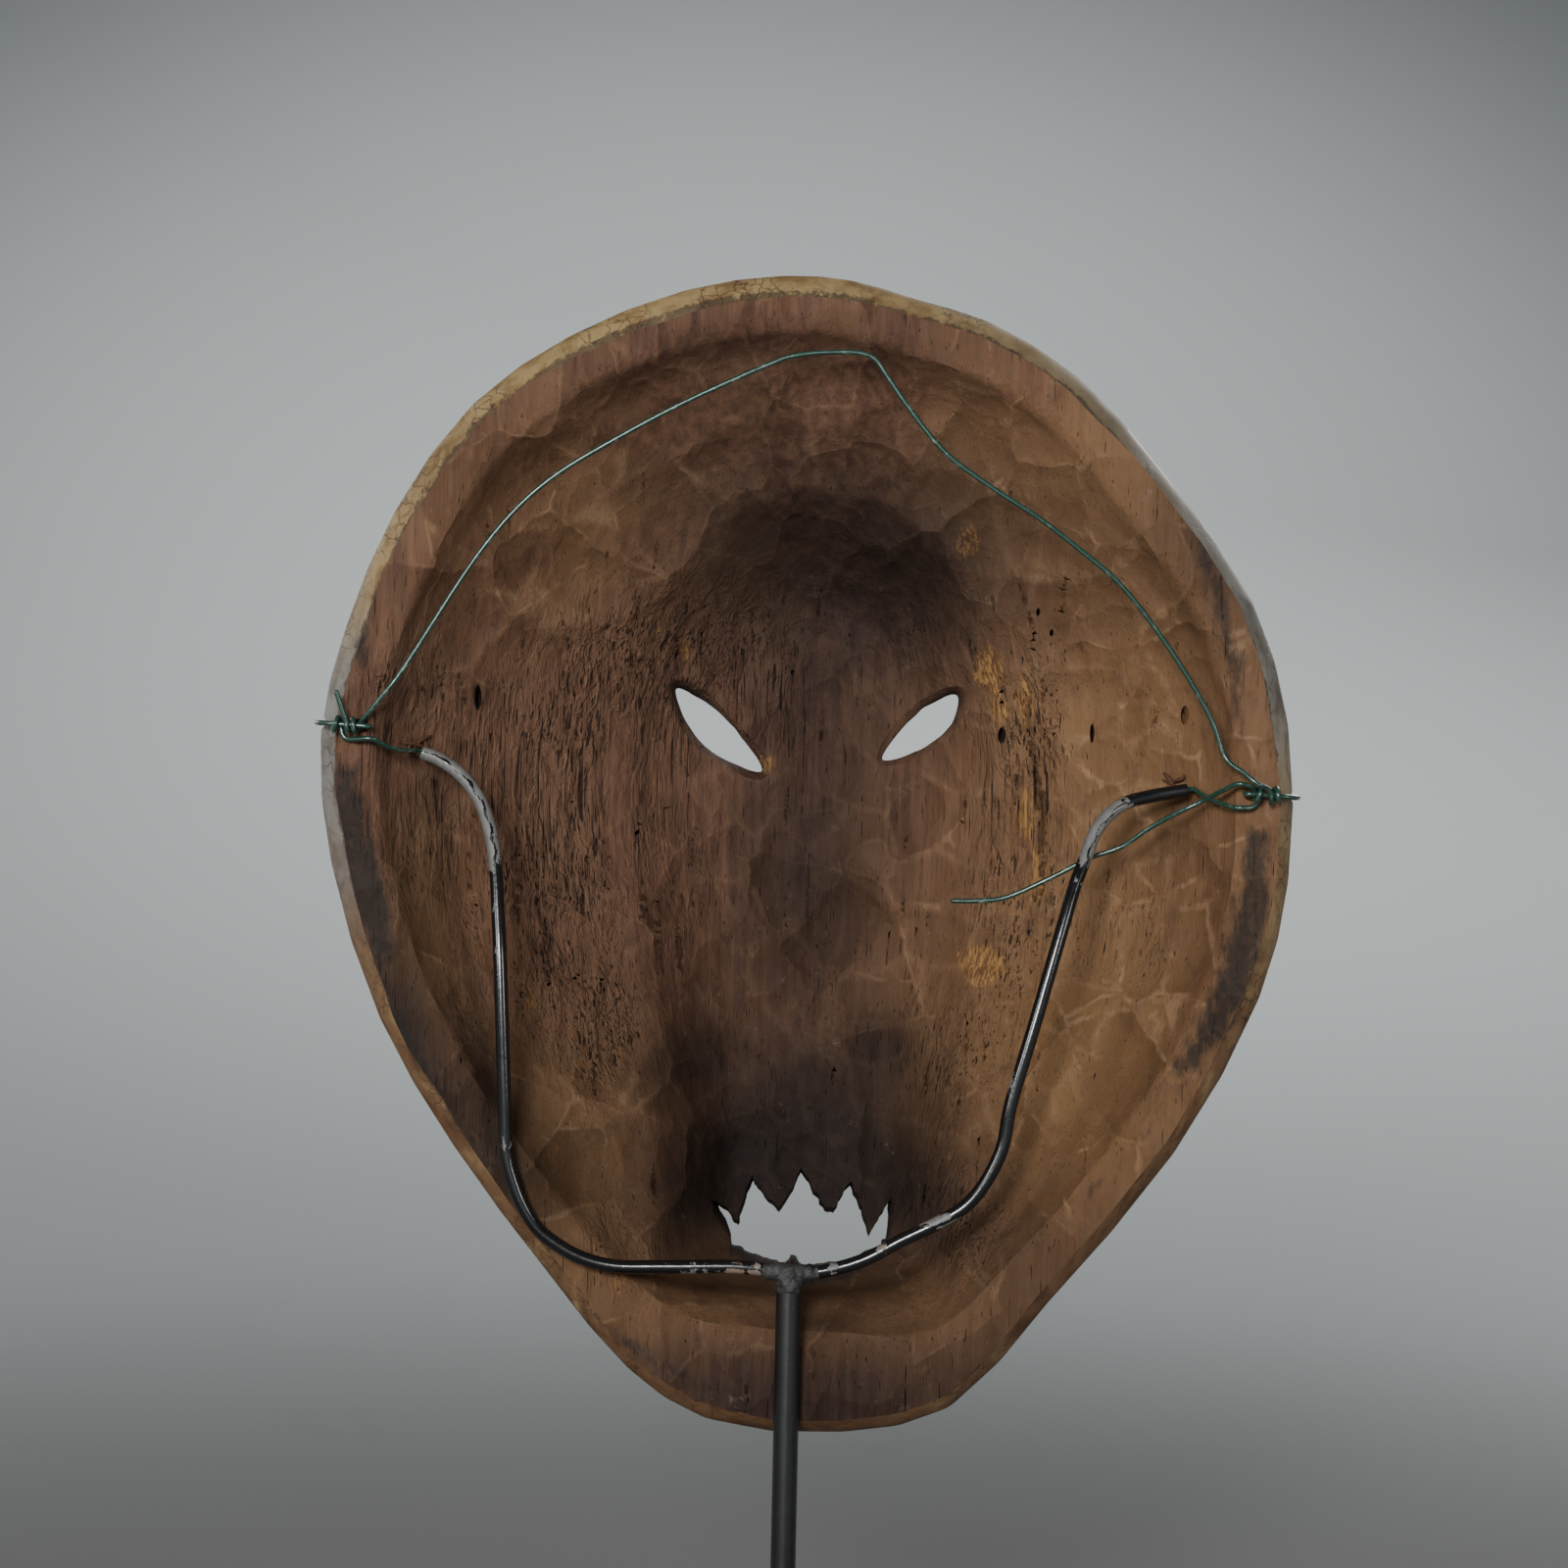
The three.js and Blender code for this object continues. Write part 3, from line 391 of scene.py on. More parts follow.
def gouged(x, z):
    """Extra depth where the gouge went, and how near the ridge between two cuts is, 1 on it to 0 away.

    A cut is a cap, depth (1 - e), with e the squared distance from its middle in half lengths and half
    widths. The deepest one counts, and a ridge is where two are as deep.
    """
    edge = noise(x, z, 7, 7, 21) * 1.2
    x, z = x + edge, z + noise(x, z, 7, 7, 22) * 1.2
    turn = np.radians(CUTS[:, 4])
    dx, dz = x[:, None] - CUTS[:, 0], z[:, None] - CUTS[:, 1]
    along = (dx * np.cos(turn) + dz * np.sin(turn)) / (CUT_REACH * CUTS[:, 2])
    aside = (dz * np.cos(turn) - dx * np.sin(turn)) / (CUT_REACH * CUTS[:, 3])
    depths = CUT_DEPTH * CUTS[:, 5] * (1 - along**2 - aside**2)
    depths.sort(axis=1)
    deepest, second = np.maximum(depths[:, -1], 0), np.maximum(depths[:, -2], 0)
    return deepest, np.exp(-(((deepest - second) / 0.3) ** 2))


def torn(x, z):
    """How torn the grain is, 0 to 1."""
    return np.clip(1.5 * hills(x, z, TORN) * (0.75 + 0.6 * noise(x, z, 9, 24, 31)) - 0.12, 0, 1)


def fibres(x, z):
    """Torn fibres: narrow upright slots, from the part of a tall thin noise that is under a level."""
    fine = noise(x + 1.5 * noise(x, z, 9, 30, 41), z, 1.7, 15, 42)
    wide = noise(x, z, 3.4, 26, 43)
    return np.maximum(0, fine - 0.14) * 0.7 + np.maximum(0, wide - 0.08) * 0.7


def hollow_relief(x, z):
    """Depth of the tool marks and damage below the plain hollow."""
    turn, distance = polar(x, z)
    inside = 1 - smooth(-6, 3, distance - hollow_radius(turn))
    tear = torn(x, z)
    cuts, _ = gouged(x, z)
    groove_gap, groove_share = from_line(x, z, GROOVE)
    groove = 1.6 * np.exp(-((groove_gap / 4.5) ** 2)) * smooth(0, 0.25, groove_share)
    eye_ledge = 1.2 * hill(x, z, place([0.31, 0.63]), 5, 14)
    waves = 0.5 * (noise(x, z, 30, 30, 51) + 1)
    tears = tear * (0.4 + fibres(x, z))
    return inside * (cuts * (1 - 0.75 * tear) + tears + groove + eye_ledge + 0.6 * waves)


def back_y(x, z):
    return RIM_Y - hollow_depth(x, z) - hollow_relief(x, z)


def rim_relief(x, z):
    """The rim's face is a little wavy, with torn upright grain in places."""
    coarse = 0.3 + 0.5 * smooth(0, 0.5, noise(x, z, 16, 16, 62))
    grain = np.maximum(0, noise(x, z, 1.6, 9, 61) - 0.25) * coarse
    return 0.45 * (noise(x, z, 17, 17, 63) + 1) * 0.5 + grain


def inner_round(x, z):
    """How much the rim's inner edge is worn down."""
    return 2.4 + 1.2 * noise(x, z, 22, 22, 64)


def face_relief(x, z):
    """What the knife and rasp did to the face: height to take off, from shallow facets and fine waves."""
    facets = np.abs(noise(x + 2 * noise(x, z, 11, 11, 71), z, 13, 9, 72))
    return 0.7 * facets + 0.25 * (noise(x, z, 4, 4, 73) + 1)


def face_detail(x, z):
    """Carved lines on the face: rims round the eyes, nostrils, a split lip, folds and a crease, in mm."""
    side = np.abs(x - NOSE_X)
    detail = sum(1.6 * np.exp(-(((gap - 3.2) / 2.2) ** 2)) for gap in eye_gaps(x, z))
    detail = detail - 5.5 * hill(side, z, (8.5, up(0.377)), 4.6, 3.4, 25)
    detail = detail + 2.2 * hill(side, z, (16, up(0.385)), 5, 7) + 1.6 * hill(side, z, (15, up(0.27)), 11, 9)
    fold_line = 24 + 0.42 * (up(0.39) - z)
    # Split lip, folds and frown: [distance from the nose's line, half width, depth, four heights].
    for middle, half, depth, heights in (
        (0, 1.3, 1.8, (0.235, 0.26, 0.34, 0.355)),
        (fold_line, 2.6, 2.0, (0.12, 0.2, 0.36, 0.4)),
        (5, 1.8, 1.6, (0.64, 0.67, 0.72, 0.76)),
    ):
        detail = detail - depth * np.exp(-(((side - middle) / half) ** 2)) * between(z, *heights)
    crease = np.exp(-(((z - brow_line(side) - 9.5) / 1.8) ** 2)) * (1 - smooth(40, 58, side))
    return detail - 1.3 * crease


def face_y(x, z):
    turn, distance = polar(x, z)
    fade = 1 - smooth(0.93, 1.0, distance / outline_radius(turn))
    return RIM_Y - front_height(x, z) - fade * (face_detail(x, z) - face_relief(x, z) + 0.3)


# ------------------------------------------------ meshes


class Surface:
    """Points and faces of one mesh, added in parts."""

    def __init__(self):
        self.points, self.faces, self.uvs, self.count = [], [], [], 0

    def grid(self, points, wrap_rows=False, wrap_columns=False, flip=False, uv=None):
        """A net of points, rows by columns by xyz, made into four-sided faces. Returns their numbers."""
        rows, columns = points.shape[:2]
        numbers = self.count + np.arange(rows * columns).reshape(rows, columns)
        self.points.append(points.reshape(-1, 3))
        self.count += rows * columns
        self.net(numbers, wrap_rows, wrap_columns, flip, uv)
        return numbers

    @staticmethod
    def cell_corners(net):
        """The four corners of every cell of a net, in order round it."""
        return np.stack([net[:-1, :-1], net[:-1, 1:], net[1:, 1:], net[1:, :-1]], 2)

    def net(self, numbers, wrap_rows=False, wrap_columns=False, flip=False, uv=None):
        """Four-sided faces between numbered points that lie in rows and columns."""
        spread = numbers
        if wrap_rows:
            spread = np.concatenate([spread, spread[:1]])
        if wrap_columns:
            spread = np.concatenate([spread, spread[:, :1]], axis=1)
        quads = self.cell_corners(spread).reshape(-1, 4)
        if uv is not None:
            quad_uv = self.cell_corners(np.stack(np.meshgrid(*uv, indexing="ij"), -1)).reshape(-1, 4, 2)
            self.uvs.append((quad_uv[:, ::-1] if flip else quad_uv).reshape(-1, 2))
        self.faces.append(quads[:, ::-1] if flip else quads)

    def fan(self, ring, point, flip=False, uv=(0.0, 0.0)):
        """Closes a ring of numbered points with triangles to one point."""
        self.points.append(np.asarray(point, float)[None])
        tip = np.full(len(ring), self.count)
        self.count += 1
        triangles = np.stack([ring, np.roll(ring, -1), tip], -1)
        self.faces.append(triangles[:, ::-1] if flip else triangles)
        self.uvs.append(np.tile(np.array(uv, float), (3 * len(ring), 1)))

    def mesh(self, name):
        points = np.concatenate(self.points) * MM
        loops = np.concatenate([face.ravel() for face in self.faces])
        sizes = np.concatenate([np.full(len(face), face.shape[1]) for face in self.faces])
        mesh = bpy.data.meshes.new(name)
        mesh.vertices.add(len(points))
        mesh.vertices.foreach_set("co", points.astype(np.float32).ravel())
        mesh.loops.add(len(loops))
        mesh.loops.foreach_set("vertex_index", loops.astype(np.int32))
        mesh.polygons.add(len(sizes))
        starts = np.concatenate([[0], np.cumsum(sizes)[:-1]])
        mesh.polygons.foreach_set("loop_start", starts.astype(np.int32))
        mesh.update(calc_edges=True)
        if self.uvs and sum(len(part) for part in self.uvs) == len(loops):
            layer = mesh.uv_layers.new(name="Way")
            layer.data.foreach_set("uv", np.concatenate(self.uvs).astype(np.float32).ravel())
        mesh.validate()
        return mesh


def add_object(name, mesh):
    made = bpy.data.objects.new(name, mesh)
    bpy.context.scene.collection.objects.link(made)
    return made


def finish_piece(made, body, material, node, sharp_degrees=35.0):
    """Smooth shading with sharp creases, its finish, its body and the CAD node that it stands for."""
    made.data.shade_smooth()
    made.data.set_sharp_from_angle(angle=math.radians(sharp_degrees))
    if material:
        made.data.materials.append(material)
    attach(made, body)
    if node:
        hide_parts(node)


def add_piece(name, surface, body, material, node):
    finish_piece(add_object(name, surface.mesh(name)), body, material, node)


def apply_modifiers(made):
    """Makes what the modifiers show the piece's own mesh."""
    mesh = bpy.data.meshes.new_from_object(made.evaluated_get(bpy.context.evaluated_depsgraph_get()))
    made.modifiers.clear()
    made.data = mesh


# Round end of a wire, [along, radius] as shares of the wire's radius.
ROUND_END = [(math.sin(b), math.cos(b)) for b in np.radians([0, 22, 44, 66])] + [(1.0, 0.0)]


def tube(surface, path, radius, sides, closed=False, start=None, end=None):
    """A round section carried along a path: centre + radius (n cos a + b sin a).

    The first normal is turned from station to station with the path, so that the section doesn't twist.
    UV is the length along the path in mm and the share of the way round. Each end is closed by rings of
    [along, radius] in mm beyond the path's end, and the last of them is a point.
    """
    path = np.asarray(path, float)
    radii = np.broadcast_to(np.asarray(radius, float), len(path))
    tangents = np.roll(path, -1, 0) - np.roll(path, 1, 0) if closed else np.gradient(path, axis=0)
    tangents = tangents / np.linalg.norm(tangents, axis=1)[:, None]
    side = np.cross(tangents[0], [0.31, 0.2, 0.93])
    normals = [side / np.linalg.norm(side)]
    for tangent in tangents[1:]:
        side = normals[-1] - tangent * (normals[-1] @ tangent)
        normals.append(side / np.linalg.norm(side))
    normals = np.array(normals)
    binormals = np.cross(tangents, normals)
    turn = np.broadcast_to(np.arange(sides) / sides * 2 * math.pi, (len(path), sides))
    along = np.concatenate([[0], np.cumsum(np.linalg.norm(np.diff(path, axis=0), axis=1))])
    if closed:
        miss = math.atan2(-(normals[0] @ binormals[-1]), normals[0] @ normals[-1])
        turn = turn + miss * np.linspace(0, 1, len(path), endpoint=False)[:, None]
    ring = normals[:, None] * np.cos(turn)[..., None] + binormals[:, None] * np.sin(turn)[..., None]
    points = path[:, None] + radii[:, None, None] * ring
    way_round = np.linspace(0, 1, sides + 1)
    if closed:
        along = np.append(along, along[-1] + np.linalg.norm(path[0] - path[-1]))
        surface.grid(points, wrap_rows=True, wrap_columns=True, uv=(along, way_round))
        return
    round_ends = [(far * radii[0], wide * radii[0]) for far, wide in ROUND_END]
    start, end = np.array(start or round_ends), np.array(end or round_ends)
    before = path[0] - start[:-1, :1] * tangents[0]
    after = path[-1] + end[:-1, :1] * tangents[-1]
    points = np.concatenate([
        (before[:, None] + start[:-1, 1][:, None, None] * ring[0])[::-1],
        points,
        after[:, None] + end[:-1, 1][:, None, None] * ring[-1],
    ])
    along = np.concatenate([-start[:-1, 0][::-1], along, along[-1] + end[:-1, 0]])
    numbers = surface.grid(points, wrap_columns=True, uv=(along, way_round))
    surface.fan(numbers[0][::-1], path[0] - start[-1, 0] * tangents[0], uv=(along[0], 0.5))
    surface.fan(numbers[-1], path[-1] + end[-1, 0] * tangents[-1], uv=(along[-1], 0.5))


def turned(surface, profile, sides, wobble=None):
    """A profile of [radius, z] turned round the post's axis; wobble adds to the radius all round it."""
    profile = np.asarray(profile, float)
    turn = np.arange(sides) / sides * 2 * math.pi
    radius = np.broadcast_to(profile[:, :1], (len(profile), sides))
    height = np.broadcast_to(profile[:, 1:], (len(profile), sides))
    if wobble is not None:
        radius = radius + wobble(turn[None, :], height)
    points = np.stack([radius * np.cos(turn), radius * np.sin(turn), height], -1)
    numbers = surface.grid(points, wrap_columns=True, uv=(profile[:, 1], np.linspace(0, 1, sides + 1)))
    surface.fan(numbers[0][::-1], (0, 0, profile[0, 1]))
    surface.fan(numbers[-1], (0, 0, profile[-1, 1]))


# ------------------------------------------------ the mask's mesh

NET = 88  # rings of faces in the hollow and on the face
RIM_ROWS = 9
BEVEL_ROWS = 5
SIDE_ROWS = 7


def disc_net(rings):
    """A square net bent to a disc: each place's direction, and its share of the way out, ring by ring."""
    j, i = np.meshgrid(np.arange(-rings, rings + 1.0), np.arange(-rings, rings + 1.0))
    wide = np.abs(i) >= np.abs(j)
    long_side = np.where(wide, i, j)
    short_side = np.where(wide, j, i)
    lean = np.divide(short_side, long_side, out=np.zeros_like(i), where=long_side != 0) * math.pi / 4
    turn = np.where(wide, lean, math.pi / 2 - lean) + np.where(long_side < 0, math.pi, 0)
    turn = (turn + math.pi) % (2 * math.pi) - math.pi
    return turn, np.abs(long_side) / rings


def edge_of(numbers):
    """The outermost numbers of a square net, in order round it."""
    return np.concatenate([numbers[-1, :-1], numbers[::-1, -1][:-1], numbers[0, ::-1][:-1], numbers[:-1, 0]])


def mask_blank():
    """The mask before its openings: hollow, rim, bevel, side and face, as one closed skin."""
    surface = Surface()
    turn, share = disc_net(NET)
    inner_edge = hollow_radius(turn) + 1.1 * noise(turn * 60, turn * 0, 7, 1, 81)
    reach = inner_edge * (1 - (1 - share) ** 1.12)
    x, z = around(turn, reach)
    flat_x, flat_z = x.ravel(), z.ravel()
    relief = hollow_relief(flat_x, flat_z) * (1 - smooth(0.985, 1, share.ravel()))
    near_rim = smooth(0.8, 1, share.ravel())
    y = RIM_Y - hollow_depth(flat_x, flat_z) - np.maximum(relief, 0)
    y = y - near_rim * (rim_relief(flat_x, flat_z) + inner_round(flat_x, flat_z))
    back = surface.grid(np.stack([flat_x, y, flat_z], -1).reshape(*x.shape, 3))
    edge = edge_of(back)
    edge_turn = turn.ravel()[edge]
    inner = inner_edge.ravel()[edge]
    hewn = hewn_radius(edge_turn)
    widest_above = 0.5 * np.exp(-(((edge_turn - 1.25) / 0.8) ** 2))
    bevel_width = BEVEL_WIDTH * (0.92 + widest_above + 0.18 * noise(edge_turn * 60, edge_turn * 0, 9, 1, 82))
    rows = []
    for step in np.linspace(0, 1, RIM_ROWS + 1)[1:]:
        radius = inner + (hewn - bevel_width - inner) * step
        px, pz = around(edge_turn, radius)
        rounded = inner_round(px, pz) * (1 - step) ** 3
        rows.append(np.stack([px, RIM_Y - rim_relief(px, pz) - rounded, pz], -1))
    crest = rows[-1]
    for step in np.linspace(0, 1, BEVEL_ROWS + 1)[1:]:
        radius = hewn - bevel_width * (1 - step) ** 1.25
        px, pz = around(edge_turn, radius)
        dent = 0.25 * noise(px, pz, 6, 6, 83) * math.sin(math.pi * step)
        rows.append(np.stack([px, crest[:, 1] * (1 - step) + (RIM_Y - BEVEL_DEPTH) * step + dent, pz], -1))
    for step in np.linspace(0, 1, SIDE_ROWS + 1)[1:]:
        radius = hewn - 0.5 * (noise(edge_turn * 60, step * 3, 5, 1, 84) + 1) * math.sin(math.pi * step)
        px, pz = around(edge_turn, radius)
        y = RIM_Y - BEVEL_DEPTH - (SIDE_DEPTH - BEVEL_DEPTH) * step
        rows.append(np.stack([px, np.full_like(px, y), pz], -1))
    front_share = 1 - (1 - share) ** 1.3
    fx, fz = around(turn, hewn_radius(turn) * front_share)
    fy = face_y(fx.ravel(), fz.ravel())
    front = surface.grid(np.stack([fx.ravel(), fy, fz.ravel()], -1).reshape(*fx.shape, 3), flip=True)
    shape = (len(rows) - 1, len(edge))
    middle_rows = surface.count + np.arange(shape[0] * shape[1]).reshape(shape)
    surface.points.append(np.concatenate(rows[:-1]))
    surface.count += middle_rows.size
    surface.net(np.concatenate([edge[None], middle_rows, edge_of(front)[None]]), wrap_columns=True)
    mesh = surface.mesh("mask_blank")
    disc_faces = 4 * NET * NET
    painted = np.zeros(len(mesh.polygons), np.int32)
    painted[disc_faces:2 * disc_faces] = 1
    painted[2 * disc_faces + RIM_ROWS * len(edge):] = 1
    mesh.polygons.foreach_set("material_index", painted)
    return mesh


def loft(surface, sections):
    """Skins a stack of closed outlines, levels by points by xyz, and closes both ends."""
    numbers = surface.grid(sections, wrap_columns=True)
    surface.fan(numbers[0][::-1], sections[0].mean(0))
    surface.fan(numbers[-1], sections[-1].mean(0))


def opening(surface, edge, push, levels):
    """An opening through the wood, between the hollow and the face.

    At each level, [push, share of the wall's thickness, lift], the edge is pushed outwards.
    """
    sections = []
    for distance, share, lift in levels:
        x, z = (edge + distance * push).T
        y = back_y(x, z) * (1 - share) + face_y(x, z) * share + lift
        sections.append(np.stack([x, y, z], -1))
    loft(surface, np.array(sections))


def outward(edge):
    """Unit normals of a closed outline in the XZ plane, pointing away from its middle."""
    way = np.roll(edge, -1, 0) - np.roll(edge, 1, 0)
    normal = np.stack([way[:, 1], -way[:, 0]], -1)
    normal /= np.linalg.norm(normal, axis=1)[:, None]
    return normal * np.sign((normal * (edge - edge.mean(0))).sum())


def spindle(surface, points, width, depth):
    """A crack: a wedge on a line of [across, up] points, widest halfway, that runs out at both ends."""
    line = curve([place(spot) for spot in points], 7)
    t = np.linspace(0, 1, len(line))
    half = width / 2 * np.maximum(np.sin(math.pi * t), 0.02) ** 0.7
    half = half * (1 + 0.35 * noise(line[:, 1], line[:, 0], 2.1, 3, 91))
    x, z = line.T
    surface_y = back_y(x, z)
    foot = surface_y - depth * np.maximum(np.sin(math.pi * t), 0.05) ** 0.8
    lift = 1.2
    grown = half * (1 + lift / depth)
    left = np.stack([x - grown, surface_y + lift, z], -1)
    right = np.stack([x + grown, surface_y + lift, z], -1)
    bottom = np.stack([x, foot, z], -1)
    sections = np.stack([left, right, bottom], 1)
    if z[0] > z[-1]:
        sections = sections[::-1]
    loft(surface, sections)


LONG_CRACK = [[-0.484, 0.628], [-0.5, 0.595], [-0.516, 0.56], [-0.524, 0.51], [-0.522, 0.47], [-0.503, 0.43]]
# Cracks: [line of [across, up] points, width, depth].
CRACKS = [
    ([[0.084, 0.06], [0.082, 0.035], [0.086, 0.014]], 0.9, 2.0),
    ([[0.29, 0.225], [0.285, 0.2], [0.28, 0.18]], 1.0, 2.0), ([[0.262, 0.16], [0.24, 0.145]], 0.8, 1.5),
    (LONG_CRACK, 2.0, 3.6),
    ([[-0.448, 0.625], [-0.462, 0.6], [-0.47, 0.565], [-0.462, 0.53]], 1.2, 2.4),
    ([[-0.54, 0.5], [-0.548, 0.465], [-0.54, 0.43], [-0.527, 0.408]], 1.0, 2.2),
    ([[0.592, 0.496], [0.59, 0.46], [0.588, 0.42]], 1.9, 3.4),
    ([[0.334, 0.474], [0.33, 0.45], [0.326, 0.42]], 1.6, 3.0),
    ([[0.298, 0.452], [0.296, 0.425], [0.29, 0.392]], 1.9, 3.2),
    ([[0.252, 0.43], [0.25, 0.405], [0.243, 0.375]], 2.2, 2.2),
    ([[0.682, 0.508], [0.69, 0.49], [0.685, 0.465], [0.668, 0.445]], 0.9, 2.0),
    ([[0.535, 0.45], [0.532, 0.42], [0.522, 0.385], [0.5, 0.348]], 1.1, 2.4),
    ([[0.468, 0.35], [0.44, 0.325], [0.42, 0.312]], 0.9, 1.8),
    ([[0.425, 0.33], [0.418, 0.3], [0.41, 0.27]], 1.1, 2.4),
    ([[-0.228, 0.955], [-0.226, 0.925], [-0.234, 0.893]], 0.55, 2.0),
    ([[0.345, 0.7], [0.36, 0.675], [0.372, 0.652]], 1.5, 3.0),
    ([[0.383, 0.66], [0.392, 0.635], [0.39, 0.61]], 1.3, 2.6),
    ([[0.27, 0.705], [0.268, 0.68], [0.262, 0.66]], 1.0, 2.2),
    ([[-0.355, 0.7], [-0.37, 0.682], [-0.378, 0.665]], 1.6, 3.2),
    ([[-0.438, 0.76], [-0.47, 0.73], [-0.492, 0.7], [-0.5, 0.675]], 0.8, 1.8),
    ([[0.76, 0.66], [0.75, 0.64], [0.742, 0.62]], 1.2, 2.2),
    ([[0.715, 0.655], [0.708, 0.632], [0.7, 0.612]], 1.4, 2.6),
    ([[0.52, 0.72], [0.5, 0.69], [0.494, 0.668]], 0.8, 1.4),
    ([[0.62, 0.81], [0.615, 0.79], [0.613, 0.772]], 1.0, 2.0),
    ([[0.66, 0.8], [0.655, 0.775], [0.65, 0.758]], 1.2, 2.2),
    ([[0.455, 0.868], [0.45, 0.853], [0.449, 0.84]], 1.1, 1.8),
    ([[-0.37, 0.355], [-0.372, 0.33], [-0.37, 0.305]], 0.9, 2.0),
    ([[-0.405, 0.345], [-0.408, 0.322], [-0.405, 0.3]], 0.8, 1.8),
    ([[-0.6, 0.256], [-0.605, 0.238], [-0.598, 0.222]], 1.2, 2.2),
    ([[-0.66, 0.272], [-0.675, 0.255], [-0.668, 0.232]], 0.7, 1.6),
    ([[-0.352, 0.238], [-0.358, 0.205], [-0.35, 0.17]], 0.8, 1.6),
    ([[0.02, 0.56], [0.026, 0.535], [0.022, 0.505]], 0.9, 1.8),
    ([[-0.24, 0.475], [-0.236, 0.445], [-0.246, 0.42]], 0.7, 1.6),
    ([[-0.028, 0.5], [-0.026, 0.46], [-0.03, 0.41]], 0.7, 1.4),
    ([[0.33, 0.545], [0.3, 0.535], [0.268, 0.538]], 0.8, 1.4),
]
# Small holes: [across, up, half width, half height].
HOLES = [
    (0.678, 0.63, 0.9, 3.2), (-0.798, 0.627, 1.0, 2.5), (-0.436, 0.608, 1.0, 2.2), (-0.621, 0.611, 0.55, 2.6),
    (-0.5, 0.718, 0.5, 1.0), (-0.53, 0.7, 0.5, 0.9),
]


def from_spot(x, z, spot):
    """Distance from an [across, up] place."""
    middle = place(spot)
    return np.hypot(x - middle[0], z - middle[1])


SPLINTERS = 120
SPLINTER_TRIES = 6000


def splinter_lines():
    """Short upright slots, scattered by a fixed seed where the grain is most torn, clear of each other."""
    random = np.random.default_rng(5)
    u = random.uniform(-0.9, 0.9, SPLINTER_TRIES)
    v = random.uniform(0.1, 0.95, SPLINTER_TRIES)
    x, z = across(u), up(v)
    turn, distance = polar(x, z)
    likely = torn(x, z) ** 1.5 + 0.015
    keep = (random.uniform(0, 1, SPLINTER_TRIES) < likely) & (distance < hollow_radius(turn) - 4)
    for line, _, _ in CRACKS:
        keep &= from_line(x, z, line)[0] > 4.5
    for spot, clearance in [(hole[:2], 7) for hole in HOLES] + [(LEFT_EYE, 24), (RIGHT_EYE, 24), (MOUTH, 32)]:
        keep &= from_spot(x, z, spot) > clearance
    chosen = []
    for k in np.flatnonzero(keep):
        if all(abs(x[k] - x[m]) > 2.6 or abs(z[k] - z[m]) > 17 for m in chosen):
            chosen.append(k)
        if len(chosen) == SPLINTERS:
            break
    lines = []
    for k in chosen:
        half = random.uniform(0.011, 0.026)
        lean = random.uniform(-0.008, 0.008)
        line = [[u[k] - lean, v[k] + half], [u[k] + lean / 2, v[k]], [u[k] + lean, v[k] - half]]
        lines.append((line, random.uniform(0.55, 1.15), random.uniform(1.2, 2.2)))
    return lines


def knots():
    """The two knots' places on the hinge line of the hanging wire, and the way outwards along it."""
    found = {}
    for side, knot_up in ((1, 0.604), (-1, 0.556)):
        half = SMOOTH_OUTLINE[np.sign(SMOOTH_OUTLINE[:, 0]) == side]
        found[side] = half[np.abs(half[:, 1] - up(knot_up)).argmin()]
    line = found[1] - found[-1]
    line = np.array([line[0], 0, line[1]]) / np.linalg.norm(line)
    hinge_y = JOINT["hanger_swing"]["pos_m"][1] / MM
    return {
        side: (np.array([edge[0], hinge_y, edge[1]]) - side * KNOT_INSET * line, side * line)
        for side, edge in found.items()
    }


KNOTS = knots()
HINGE_UP = np.cross(KNOTS[1][1], [0, 1, 0])
HINGE_UP = HINGE_UP * np.sign(HINGE_UP[2])


def at_knot(side, outwards, y, rise=0.0):
    """A point in a knot's own frame: outwards along the hinge line, along Y, and up."""
    spot, out = KNOTS[side]
    return spot + outwards * out + np.array([0, y, 0]) + rise * HINGE_UP


KNOT_Y = KNOTS[1][0][1]
FACE_Y = RIM_Y - KNOT_Y
HOLE_INNER = (KNOT_INSET - BEVEL_WIDTH - 0.72 * RIM_WIDTH, FACE_Y)
HOLE_OUTER = (KNOT_INSET, FACE_Y - BEVEL_DEPTH - 1.4)


# Levels through an opening, from the hollow to the face: [push, share of the wall's thickness, lift].
EYE_LEVELS = [
    (3.4, 0, 7), (2.3, 0, 0.6), (1.2, 0.1, 0), (0.25, 0.24, 0), (0, 0.4, 0), (0.1, 0.75, 0), (0.9, 0.98, 0),
    (2.4, 1, -6),
]
MOUTH_LEVELS = [
    (3.2, 0, 7), (2.0, 0, 0.5), (0.9, 0.12, 0), (0, 0.3, 0), (0, 0.7, 0), (0.6, 0.95, 0), (1.4, 1, -6),
]
MOUTH_STEPS = 7  # between two corners of the mouth's edge
WIRE_HOLE_RADIUS = 1.85


def shake_of(line, size, seed):
    """Random offsets along a line, from two noises."""
    return np.stack([noise(*line.T, size, size, seed), noise(*line.T, size, size, seed + 1)], -1)


